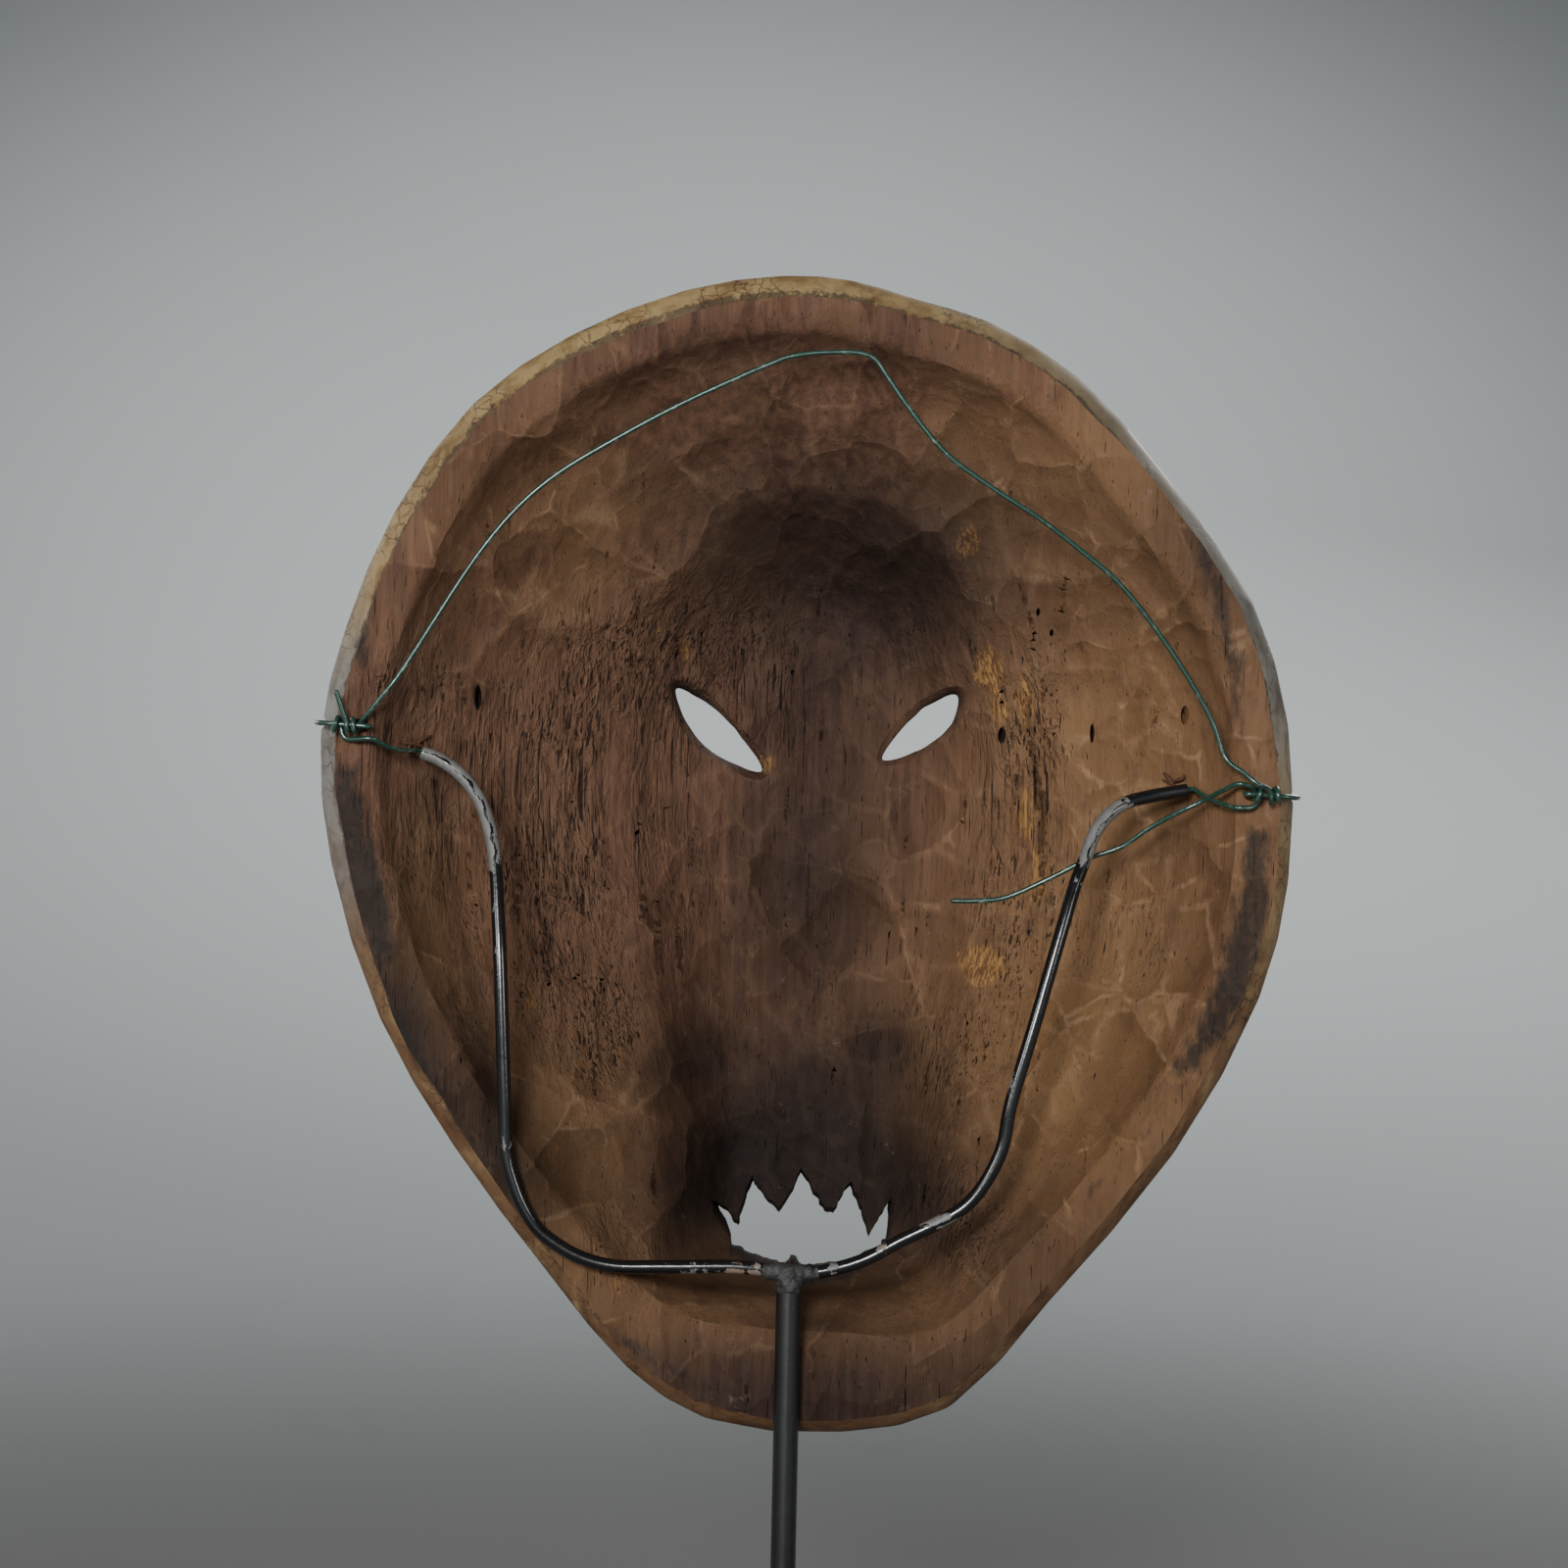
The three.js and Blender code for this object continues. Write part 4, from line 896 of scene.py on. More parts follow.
def cut_openings():
    """The eye slits and the toothed mouth."""
    openings = Surface()
    for spot, edge in EYES:
        line = spot + curve(edge, 10, closed=True)
        line = line + 0.18 * shake_of(line, 3, 92)
        push = outward(line) * (1 + 0.35 * noise(*line.T, 8, 8, 94))[:, None]
        opening(openings, line, push, EYE_LEVELS)
    ring = np.array(UPPER_TEETH + LOWER_LIP)
    stretches = zip(ring, np.roll(ring, -1, 0))
    line = np.concatenate([np.linspace(start, end, MOUTH_STEPS + 1)[:-1] for start, end in stretches])
    is_upper = np.repeat(np.arange(len(ring)) < len(UPPER_TEETH) - 1, MOUTH_STEPS)
    push = np.stack([0.35 * line[:, 0] / 24, np.where(is_upper, 1.0, -1.0)], -1)
    line = place(MOUTH) + line
    opening(openings, line + 0.45 * shake_of(line, 1.2, 95), push, MOUTH_LEVELS)
    return openings


def cut_tools():
    """Everything that is cut out of the blank: openings, wire holes, cracks, slots and small holes."""
    openings, wire_holes, small = cut_openings(), Surface(), Surface()
    for side in KNOTS:
        inner, outer = at_knot(side, *HOLE_INNER), at_knot(side, *HOLE_OUTER)
        way = (outer - inner) / np.linalg.norm(outer - inner)
        tube(wire_holes, np.linspace(inner - 6 * way, outer + 6 * way, 6), WIRE_HOLE_RADIUS, 24)
    for line, width, depth in CRACKS:
        spindle(small, line, 1.5 * width, 1.35 * depth)
    for line, width, depth in splinter_lines():
        spindle(small, line, width, depth)
    for u, v, wide, high in HOLES:
        x, z = place((u, v))
        y = float(back_y(np.array([x]), np.array([z]))[0])
        turn = np.arange(16) / 16 * 2 * math.pi
        sections = [
            np.stack([x + k * wide * np.cos(turn), np.full(16, y + lift), z + k * high * np.sin(turn)], -1)
            for k, lift in ((1.5, 2.5), (1.05, 0.2), (0.9, -1.5), (0.35, -4.5))
        ]
        loft(small, np.array(sections))
    return [openings.mesh("openings"), wire_holes.mesh("wire_holes"), small.mesh("small_cuts")]


def cut_out(made, tool_mesh):
    """Takes a tool's closed shapes out of the piece, and applies that at once."""
    tool = add_object(tool_mesh.name, tool_mesh)
    modifier = made.modifiers.new("cut", "BOOLEAN")
    modifier.operation = "DIFFERENCE"
    modifier.solver = "MANIFOLD"
    modifier.object = tool
    apply_modifiers(made)
    bpy.data.objects.remove(tool)


# ------------------------------------------------ where the mask is stained, sooty, bare or painted, and its painted shade

# Darkened wood, partly stain and partly painted shade: [across, up, half width, half height, strength].
STAINS_AND_SHADES = [
    (-0.03, 0.8, 62, 30, 0.55), (-0.03, 0.69, 66, 44, 0.45), (-0.03, 0.47, 26, 50, 0.75),
    (-0.03, 0.25, 46, 22, 0.85), (-0.03, 0.175, 38, 16, 1.1), (0.201, 0.315, 9, 10, 0.5),
    # (0.77, 0.553) and (-0.79, 0.515) are painted shadows under the arms' tips.
    (-0.205, 0.323, 9, 10, 0.5), (0.3, 0.305, 7, 8, 0.35), (0.77, 0.553, 6, 13, 0.35),
    (-0.79, 0.515, 8, 13, 0.4), (-0.03, 0.02, 90, 20, 0.85), (-0.28, 0.74, 30, 26, 0.3),
    (0.66, 0.27, 20, 28, 0.5), (0.86, 0.42, 14, 40, 0.5), (0.1, 0.94, 60, 8, 0.3), (-0.6, 0.12, 30, 20, 0.4),
    (0.62, 0.2, 24, 24, 0.6), (0.8, 0.32, 12, 26, 0.7), (-0.93, 0.8, 26, 30, 0.9), (-0.03, 0.2, 40, 10, 0.3),
]
# Black smudges along the rim, and painted shadow beside the cracks: [line of [across, up] points, half width
# in mm].
SMUDGES_AND_CRACK_SHADOWS = [
    ([[0.905, 0.692], [0.897, 0.655]], 4.4),
    ([[0.925, 0.56], [0.912, 0.5], [0.885, 0.462], [0.842, 0.409]], 7.0),
    ([[0.862, 0.415], [0.822, 0.359], [0.738, 0.292], [0.655, 0.234]], 2.6),
    ([[0.93, 0.7], [0.9, 0.752], [0.83, 0.8]], 2.4),
    ([[0.842, 0.792], [0.766, 0.842], [0.687, 0.882], [0.609, 0.912]], 0.9),
    ([[-0.795, 0.792], [-0.845, 0.735], [-0.885, 0.66], [-0.9, 0.61]], 3.0),
    ([[-0.94, 0.523], [-0.93, 0.45], [-0.892, 0.391], [-0.84, 0.348], [-0.8, 0.327]], 6.0),
    ([[-0.83, 0.33], [-0.7, 0.255], [-0.56, 0.19]], 0.8),
    ([[0.53, 0.14], [0.4, 0.097], [0.26, 0.058], [0.11, 0.034]], 1.8),
    # This line and the last two are painted shadow along cracks.
    (LONG_CRACK, 1.0),
    ([[-0.31, 0.72], [-0.36, 0.7], [-0.385, 0.665]], 0.9),
    ([[-0.54, 0.5], [-0.548, 0.465], [-0.53, 0.41]], 0.8),
]
# Yellow patches of bare wood and a knot: [across, up, half width, half height].
BARE = [
    (-0.405, 0.668, 4.2, 7), (-0.43, 0.633, 2.6, 6), (-0.48, 0.638, 2.6, 8), (-0.403, 0.398, 6.5, 6),
    (0.553, 0.362, 1.5, 4), (0.253, 0.681, 2.2, 3), (0.075, 0.578, 3.4, 3), (-0.515, 0.49, 2.2, 11),
    (-0.49, 0.54, 2.4, 8), (-0.35, 0.777, 3, 5), (0.31, 0.7, 0.9, 3), (0.35, 0.128, 1.5, 3),
]
# Lighter, yellower wood: [across, up, half width, half height, strength].
PALER = [
    (-0.72, 0.6, 40, 60, 0.7), (-0.6, 0.3, 46, 50, 0.9), (0.5, 0.22, 30, 34, 0.8), (0, 0.11, 60, 12, 0.6),
    (0.5, 0.78, 34, 26, 0.45), (-0.5, 0.85, 40, 26, 0.45), (0.75, 0.42, 14, 30, 0.5),
]


def stroke(x, z, line, half_width):
    """Depth in mm inside a stroke along a line, thinner towards its ends; negative outside it."""
    gap, share = from_line(x, z, line)
    return half_width * (0.55 + 0.45 * np.sin(math.pi * np.clip(share, 0.05, 0.95))) - gap


def patch(x, z, spot, wide, high):
    """Depth in mm inside an oval; negative outside it."""
    return (1 - np.hypot((x - place(spot)[0]) / wide, (z - place(spot)[1]) / high)) * min(wide, high)


def spot_places():
    """The black spots on the face: a shaken net, kept off the brows, nose, muzzle and eyes."""
    random = np.random.default_rng(17)
    i, j = np.meshgrid(np.arange(0, 6), np.arange(-8, 9))
    side = (9 + 19 * i + 9.5 * (j % 2)).ravel()
    z = (MIDDLE[1] + 16.5 * j).ravel()
    spots = []
    for mirror in (1, -1):
        x = NOSE_X + mirror * (side + random.uniform(-2, 2, side.size))
        height = z + random.uniform(-2.5, 2.5, z.size)
        turn, distance = polar(x, height)
        free = distance < outline_radius(turn) - 9
        free &= ~((np.abs(height - brow_line(side)) < 11) & (side < 66))
        free &= ~((side < 27) & (height < up(0.72)))
        free &= np.hypot(side / 60, (height - up(0.2)) / 52) > 1
        free &= np.hypot((side - 27) / 27, (height - up(0.605)) / 21) > 1
        spots.append(np.stack([x, height, random.uniform(3.4, 5.2, x.size)], 1)[free])
    return np.concatenate(spots)


def face_paint(x, z):
    """Depth in mm inside each painted colour on the face; negative outside it."""
    side = np.abs(x - NOSE_X)
    ring = mouth_ring(x, z)
    eye_gap = np.minimum(*eye_gaps(x, z))
    brow = (4.2 - side * 0.045) - np.abs(z - brow_line(side) - 3.5)
    brow = np.where((side > 7) & (side < 58), brow, -5)
    nose_pad = (1 - np.hypot(side / 17, (z - up(0.392)) / 11)) * 11
    split = 1.1 - np.hypot(side, np.maximum(0, np.abs(z - up(0.3)) - 16))
    row = (z - up(0.262)) / 7.5
    column = (side - 12 - 2.5 * np.round(row)) / 7.5
    dots = 1.35 - 7.5 * np.hypot(row - np.round(row), column - np.round(column))
    in_rows = (np.abs(np.round(row)) < 2) & (np.round(column) > -0.5) & (np.round(column) < 3)
    dots = np.where(in_rows, dots, -5)
    places = spot_places()
    gaps = np.hypot(x[:, None] - places[:, 0], (z[:, None] - places[:, 1]) * 0.9)
    nearest = gaps.argmin(1)
    size = places[nearest, 2]
    gap = gaps[np.arange(len(x)), nearest]
    rosette = 1.55 - np.abs(gap - size) - 1.5 * np.maximum(0, noise(x, z, 3.2, 3.2, 111) - 0.25)
    edge_line = 1.4 - np.abs(ring - 1.36) * 24
    black = np.max([brow, nose_pad, split, dots, rosette, 2.0 - np.abs(eye_gap - 1.6), edge_line], axis=0)
    white = np.maximum((1 - np.hypot(side / 47, (z - up(0.235)) / 37)) * 37, 3.2 - np.abs(eye_gap - 4.6))
    red = (0.36 - np.abs(ring - 0.98)) * 22
    teeth = (0.66 - ring) * 22
    return {"black": black, "white": white, "red": red, "teeth": teeth, "spot_heart": (size - 1.4 - gap)}


def worn(x, z):
    """Where paint is rubbed off: the nose, brows, cheeks and chin, and the edge of the face."""
    side = np.abs(x - NOSE_X)
    turn, distance = polar(x, z)
    share = distance / outline_radius(turn)
    nose = np.exp(-((side / 5) ** 2)) * between(z, 0.4, 0.44, 0.6, 0.68)
    tip = hill(side, z, (0, up(0.41)), 9, 9)
    brow = np.exp(-(((z - brow_line(side) + 2) / 3.5) ** 2)) * (1 - smooth(40, 60, side))
    cheek = hill(side, z, place(CHEEK), 17, 20)
    chin = hill(x, z, (NOSE_X, up(0.05)), 24, 8)
    edge = smooth(0.93, 1.0, share)
    rubbed = 0.8 * nose + 0.7 * tip + 0.6 * brow + 0.45 * cheek + 0.55 * chin + 0.75 * edge
    return np.clip(rubbed, 0, 1)


def write_fields(mesh, fields):
    """Stores each field as a point attribute that the materials read."""
    for name, values in fields.items():
        attribute = mesh.attributes.new(name, "FLOAT", "POINT")
        attribute.data.foreach_set("value", np.ascontiguousarray(values, np.float32))


def points_of(mesh):
    co = np.empty(3 * len(mesh.vertices), np.float32)
    mesh.vertices.foreach_get("co", co)
    return co.reshape(-1, 3).astype(float) / MM


def near_openings(x, z):
    """1 round the eyes and the mouth, falling to 0 over 6 mm."""
    return np.clip(sum(
        smooth(reach + 6, reach, np.hypot((x - place(spot)[0]) / stretch, z - place(spot)[1]))
        for spot, reach, stretch in ((LEFT_EYE, 15, 1), (RIGHT_EYE, 15, 1), (MOUTH, 17, 1.6))
    ), 0, 1)


def mask_fields(mesh):
    """The fields for the hollow's and the face's materials, worked out at every point of the mesh."""
    x, y, z = points_of(mesh).T
    turn, distance = polar(x, z)
    from_edge = outline_radius(turn) - distance
    sunk = back_y(x, z) - y
    near_opening = near_openings(x, z)
    groove_gap, groove_share = from_line(x, z, GROOVE)
    # Stain and painted shade from the table, and painted shade along the groove behind the nose.
    stain_and_shade = hills(x, z, STAINS_AND_SHADES) + 0.3 * np.exp(-((groove_gap / 3) ** 2)) * smooth(0, 0.3, groove_share)
    # Painted shade down in the cracks, slots and holes, and down the walls of the eyes and mouth.
    deep = smooth(0.5, 1.6, sunk) * (1 - near_opening)
    deep = deep * smooth(0.93, 0.87, distance / hollow_radius(turn))
    stain_and_shade = np.maximum(stain_and_shade, 1.6 * deep) + 0.45 * smooth(1, 4, sunk) * near_opening
    # Where the painted highlight runs: along the gouge ridges, less where the grain is torn.
    _, ridge = gouged(x, z)
    ridge = ridge * (distance < hollow_radius(turn) - 1) * (sunk < 0.5)
    pale = hills(x, z, PALER)
    clear = 0.35 + 0.65 * np.clip(pale, 0, 1)
    side = np.maximum(smooth(6.5, 3.5, from_edge), smooth(-SIDE_DEPTH - 2, -SIDE_DEPTH + 1.5, y - RIM_Y))
    grey = hill(x, z, place([1.0, 0.55]), 60, 48) + 0.8 * hill(x, z, place([-0.95, 0.72]), 40, 62)
    fields = {
        "stain_and_shade": stain_and_shade,
        "smudge_and_shadow": np.max([stroke(x, z, line, width) for line, width in SMUDGES_AND_CRACK_SHADOWS], axis=0),
        "bare": np.max([patch(x, z, (u, v), wide, high) for u, v, wide, high in BARE], axis=0),
        "pale": np.clip(pale, 0, 1.2),
        "ridge": ridge * clear * (1 - 0.7 * torn(x, z)),
        "torn": torn(x, z),
        "worn": worn(x, z),
        "side": side,
        "border": smooth(3.0, 5.4, from_edge) * (y > RIM_Y - 0.75 * BEVEL_DEPTH),
        "low": smooth(up(0.62), up(0.3), z),
        "grey": grey,
        "shade": hill(x, z, place([-0.75, 0.86]), 56, 60),
        "inner": smooth(2, 7, y - face_y(x, z)) * (from_edge > 8),
    }
    fields.update(face_paint(x, z))
    write_fields(mesh, fields)


def paint_openings(mesh):
    """The face's paint runs a little way into the openings."""
    count = len(mesh.polygons)
    centres, painted = np.empty(3 * count, np.float32), np.empty(count, np.int32)
    mesh.polygons.foreach_get("center", centres)
    mesh.polygons.foreach_get("material_index", painted)
    x, y, z = centres.reshape(-1, 3).astype(float).T / MM
    inside = (y < face_y(x, z) + 3.0) & (near_openings(x, z) > 0)
    mesh.polygons.foreach_set("material_index", np.maximum(painted, inside).astype(np.int32))


# ------------------------------------------------ finishes


def tint(red, green, blue):
    """A colour as the eye names it, 0 to 255, made linear."""
    shares = (red / 255, green / 255, blue / 255)
    return tuple(c / 12.92 if c <= 0.04045 else ((c + 0.055) / 1.055) ** 2.4 for c in shares) + (1.0,)


CUT_DARK = tint(70, 70, 70)
CUT_LIGHT = tint(176, 176, 176)
WOOD_DARK = tint(82, 59, 48)
WOOD_RED = tint(113, 84, 66)
WOOD_MID = tint(108, 83, 64)
WOOD_TAN = tint(140, 110, 76)
FIBRE_LIGHT = tint(186, 150, 124)
FIBRE_RED = tint(132, 98, 76)
SPLINTER = tint(110, 76, 54)
SLIT_SHADE_AND_FIBRE_DARK = tint(34, 23, 19)
LOW_SHADE = tint(178, 172, 170)
RIDGE_HIGHLIGHT = tint(168, 134, 102)
KNOT_DARK = tint(104, 70, 44)
KNOT_YELLOW = tint(178, 134, 78)
STAIN_AND_SHADE_TINT = tint(118, 122, 138)
SMUDGE_AND_SHADOW = tint(34, 32, 31)
DUST = tint(144, 124, 106)

OCHRE = tint(196, 148, 66)
OCHRE_DARK = tint(150, 104, 44)
OCHRE_BRUSHED = tint(214, 170, 92)
SPOT_HEART = tint(168, 96, 34)
GESSO = tint(202, 190, 164)
GESSO_DIRTY = tint(170, 156, 128)
FACE_WOOD = tint(122, 84, 58)
FACE_WOOD_DARK = tint(88, 58, 42)
PAINT_BLACK = tint(28, 25, 24)
PAINT_WHITE = tint(216, 205, 180)
PAINT_WHITE_DIM = tint(196, 184, 156)
PAINT_RED = tint(142, 38, 26)
PAINT_RED_DIM = tint(112, 30, 24)
TOOTH = tint(222, 210, 176)
CRAZE = tint(58, 44, 34)
GRIME = tint(120, 96, 76)
OPENING_WOOD = tint(60, 36, 28)
SIDE_OCHRE = tint(150, 127, 88)
SIDE_MOTTLE = tint(168, 140, 108)
SIDE_DIRT = tint(62, 50, 42)
SIDE_GREY = tint(126, 124, 119)
SIDE_BROWN = tint(112, 82, 57)
SIDE_SHADE = tint(82, 76, 66)

STEEL_BLACK = tint(9, 9, 10)
STEEL_BLACK_HAZY = tint(19, 19, 21)
STEEL_SPECK = tint(92, 90, 86)
CHIP_DARK = tint(58, 58, 58)
CHIP_PALE = tint(124, 123, 119)
RUST_PALE = tint(150, 122, 100)
RUST_DARK = tint(96, 74, 60)
WELD_BLACK = tint(22, 22, 23)
WELD_GREY = tint(56, 55, 54)
WELD_MARK = tint(140, 137, 131)
WIRE_DARK = tint(17, 45, 37)
WIRE_GREEN = tint(36, 72, 60)
WIRE_RUBBED = tint(128, 144, 134)
WIRE_DIRTY = tint(84, 88, 78)
FELT_DARK = tint(16, 22, 18)
FELT_PALE = tint(52, 62, 54)
ZINC_DARK = tint(142, 144, 148)
ZINC_PALE = tint(196, 197, 200)
# The floor's grey near the stand is painted shade.
FLOOR_PAINTED_SHADE = tint(104, 105, 104)
WALL_GREY = tint(150, 154, 154)
FLOOR_END = 320  # mm from the stand where the backdrop starts to lighten, and where it is at its lightest
WALL_START = 1150
ROOM_GREY = tint(196, 200, 202)


class Finish:
    """A material on a Principled shader, with its nodes written as calls that return their outputs."""

    def __init__(self, name, **constants):
        self.material = bpy.data.materials.new(name)
        self.material.use_nodes = True
        self.nodes = self.material.node_tree.nodes
        self.shader = next(node for node in self.nodes if node.type == "BSDF_PRINCIPLED")
        for socket, value in constants.items():
            self.shader.inputs[socket.replace("_", " ")].default_value = value
        self.coordinates = self.node("TexCoord", {})
        self.object = self.maths("SCALE", self.coordinates.outputs["Object"], scale=1 / MM)

    def node(self, kind, inputs, **settings):
        made = self.nodes.new("ShaderNode" + kind)
        for name, value in settings.items():
            setattr(made, name, value)
        for socket, value in inputs.items():
            if isinstance(value, bpy.types.NodeSocket):
                self.material.node_tree.links.new(value, made.inputs[socket])
            else:
                made.inputs[socket].default_value = value
        return made

    def maths(self, operation, vector, other=None, scale=None):
        inputs = {0: vector}
        if other is not None:
            inputs[1] = other
        if scale is not None:
            inputs["Scale"] = scale
        return self.node("VectorMath", inputs, operation=operation).outputs["Vector"]

    def sum(self, a, b, operation="ADD", clamp=False):
        return self.node("Math", {0: a, 1: b}, operation=operation, use_clamp=clamp).outputs[0]

    def times(self, a, b):
        return self.sum(a, b, "MULTIPLY")

    def field(self, name):
        """A field that was worked out at the mesh's points."""
        return self.node("Attribute", {}, attribute_name=name).outputs["Fac"]

    def grain(self, size, detail=3.0, roughness=0.55, distortion=0.0, where=None, shift=0.0):
        """Noise, 0 to 1, whose lumps are about size mm, given along X, Y and Z."""
        stretched = self.maths("MULTIPLY", where or self.object, tuple(1 / s for s in size))
        moved = self.maths("ADD", stretched, (shift, shift * 0.7, shift * 1.3))
        inputs = {"Vector": moved, "Scale": 1.0, "Detail": detail, "Roughness": roughness}
        return self.node("TexNoise", {**inputs, "Distortion": distortion}).outputs["Fac"]

    def swing(self, noise_share, reach):
        """Noise from 0 to 1 made a push from -reach / 2 to reach / 2."""
        return self.times(self.sum(noise_share, -0.5), reach)

    def cells(self, size, warp, feature, output, shift):
        """Random cells about size mm wide across X and Z, their borders shaken by warp mm."""
        shake = self.node("TexNoise", {"Vector": self.object, "Scale": 1.6 / size}).outputs["Color"]
        moved = self.maths("ADD", self.object, self.maths("SCALE", shake, scale=float(warp)))
        flat = self.maths("MULTIPLY", moved, (1 / size, 0.0, 0.85 / size))
        flat = self.maths("ADD", flat, (shift, 0.0, shift))
        return self.node("TexVoronoi", {"Vector": flat, "Scale": 1.0}, feature=feature).outputs[output]

    def step(self, low, high, value):
        """0 below low and 1 above high, smooth between them; the other way round where low is greater."""
        inputs = {"Value": value, "From Min": low, "From Max": high}
        return self.node("MapRange", inputs, interpolation_type="SMOOTHSTEP").outputs[0]

    def mix(self, share, a, b, blend="MIX"):
        inputs = {0: share, 6: a, 7: b}
        return self.node("Mix", inputs, data_type="RGBA", blend_type=blend, clamp_factor=True).outputs[2]

    def tinged(self, share, colour, by, blend="MULTIPLY"):
        """A colour, tinged by another in that share."""
        return self.mix(share, colour, self.mix(1.0, colour, by, blend))

    def bump(self, height, depth):
        """Raises the surface by height, 0 to 1, times depth in mm."""
        inputs = {"Height": height, "Distance": depth * MM, "Strength": 1.0}
        return self.node("Bump", inputs).outputs["Normal"]

    def connect(self, **sockets):
        for socket, value in sockets.items():
            self.material.node_tree.links.new(value, self.shader.inputs[socket.replace("_", " ")])
        return self.material


def bare_wood():
    """Hollow and rim: red-brown wood, upright grain, gouge ridges, torn fibres, stains, painted shade and
    highlights.
    """
    f = Finish("bare_wood", Specular_IOR_Level=0.22)
    fine = f.grain((0.5, 0.5, 16), 4, 0.65)
    streaks = f.grain((2.4, 2.4, 46), 5, 0.6, 0.4, shift=3)
    broad = f.grain((26, 26, 60), 4, 0.55, shift=9)
    blotches = f.grain((9, 9, 12), 4, 0.6, 0.5, shift=5)
    scuff = f.grain((1.3, 1.3, 1.6), 5, 0.75, shift=8)
    torn_share = f.field("torn")
    whole = f.sum(1.0, f.times(torn_share, -0.85))
    colour = f.mix(f.step(0.3, 0.7, streaks), WOOD_DARK, WOOD_RED)
    colour = f.mix(f.times(f.step(0.42, 0.68, broad), 0.75), colour, WOOD_MID)
    tan_share = f.times(f.field("pale"), f.step(0.25, 0.7, f.sum(blotches, f.times(broad, 0.35))))
    colour = f.mix(tan_share, colour, WOOD_TAN)
    cut_tone = f.cells(17, 6, "F1", "Color", 0)
    colour = f.tinged(f.times(whole, 0.45), colour, f.mix(cut_tone, CUT_DARK, CUT_LIGHT), "SOFT_LIGHT")
    colour = f.tinged(f.times(f.step(0.35, 0.75, fine), 0.5), colour, FIBRE_LIGHT, "SOFT_LIGHT")
    pores = f.grain((0.45, 0.45, 9), 1, 0.5, shift=21)
    slits = f.grain((0.6, 0.6, 30), 1.4, 0.5, 0.15, shift=33)
    wide_slits = f.grain((1.5, 1.5, 36), 2, 0.55, 0.3, shift=39)

    def slit_step(low, low_drop, high, high_drop, noise_share):
        """A step whose two levels drop where the grain is torn."""
        low_level = f.sum(low, f.times(torn_share, -low_drop))
        return f.step(low_level, f.sum(high, f.times(torn_share, -high_drop)), noise_share)

    slit_share = slit_step(0.73, 0.125, 0.77, 0.12, slits)
    gap_share = f.times(slit_step(0.76, 0.13, 0.79, 0.12, wide_slits), 0.9)
    pore_share = f.times(f.step(0.7, 0.8, pores), 0.4)
    cracks = f.sum(f.sum(slit_share, gap_share, "MAXIMUM"), pore_share, "MAXIMUM")
    fibre = f.grain((1.2, 1.2, 15), 4, 0.65, 0.5, shift=14)
    broken = f.step(0.4, 0.6, f.grain((7, 7, 15), 4, 0.65, 0.8, shift=52))
    fibre_share = f.times(f.step(0.48, 0.7, fibre), f.sum(0.2, f.times(broken, 0.5)))
    colour = f.mix(f.times(torn_share, fibre_share), colour, FIBRE_RED)
    # Painted shade in the torn grain's slits and pores.
    colour = f.mix(cracks, colour, SLIT_SHADE_AND_FIBRE_DARK)
    # Painted highlight along the gouge ridges, where handling has rubbed them.
    crest = f.step(0.04, 0.008, f.cells(17, 6, "DISTANCE_TO_EDGE", "Distance", 0))
    crest = f.times(crest, f.step(0.47, 0.62, blotches))
    crest = f.times(crest, f.times(whole, f.sum(0.25, f.field("pale"))))
    rubbed = f.step(0.36, 0.6, f.sum(f.times(scuff, 0.5), f.times(blotches, 0.5)))
    ridge = f.times(f.field("ridge"), rubbed)
    colour = f.mix(f.sum(f.times(ridge, 0.5), f.times(crest, 0.5), clamp=True), colour, RIDGE_HIGHLIGHT)
    wisps = f.grain((1.5, 1.5, 9), 4, 0.65, 0.5, shift=44)
    patch_edge = f.sum(f.field("bare"), f.swing(wisps, 9.0))
    bare_grain = f.grain((0.8, 0.8, 12), 3, 0.6, 0.6, shift=47)
    bare_colour = f.mix(f.step(0.4, 0.6, bare_grain), KNOT_DARK, KNOT_YELLOW)
    colour = f.mix(f.times(f.step(-0.2, 1.6, patch_edge), 0.8), colour, bare_colour)
    # Stain and painted shade: the hollow's deep middle, its cracks, the groove and under the arms' tips.
    stain_and_shade = f.times(f.field("stain_and_shade"), f.sum(0.72, f.times(blotches, 0.5)))
    colour = f.tinged(f.step(0.0, 1.15, stain_and_shade), colour, STAIN_AND_SHADE_TINT)
    # Black smudges along the rim, and painted shadow along three cracks, broken up by the grain.
    smudge_and_shadow_edge = f.sum(f.swing(f.grain((2.6, 2.6, 7), 5, 0.7, shift=17), 11.0), f.field("smudge_and_shadow"))
    soot_and_shadow = f.sum(0.12, f.times(f.sum(streaks, scuff), 0.68), clamp=True)
    colour = f.mix(f.times(f.step(-0.6, 3.6, smudge_and_shadow_edge), soot_and_shadow), colour, SMUDGE_AND_SHADOW)
    colour = f.tinged(f.times(f.field("low"), 0.5), colour, LOW_SHADE)
    dust = f.grain((5, 5, 5), 6, 0.8, shift=2)
    colour = f.mix(f.times(f.step(0.6, 0.74, dust), 0.3), colour, DUST)
    height = f.sum(f.times(fine, 0.3), f.times(cracks, -1.2))
    height = f.sum(height, f.times(torn_share, f.times(fibre, f.sum(0.7, f.times(broken, 1.9)))))
    height = f.sum(height, f.times(scuff, 0.2))
    for size, warp, deep, shift in ((17, 6, 4.6, 0), (9, 4, 1.3, 40)):
        cut = f.cells(size, warp, "F1", "Distance", shift)
        height = f.sum(height, f.times(f.times(f.times(cut, cut), whole), deep))
    rough = f.sum(0.6, f.times(blotches, 0.3))
    return f.connect(Base_Color=colour, Roughness=rough, Normal=f.bump(height, 1.0))


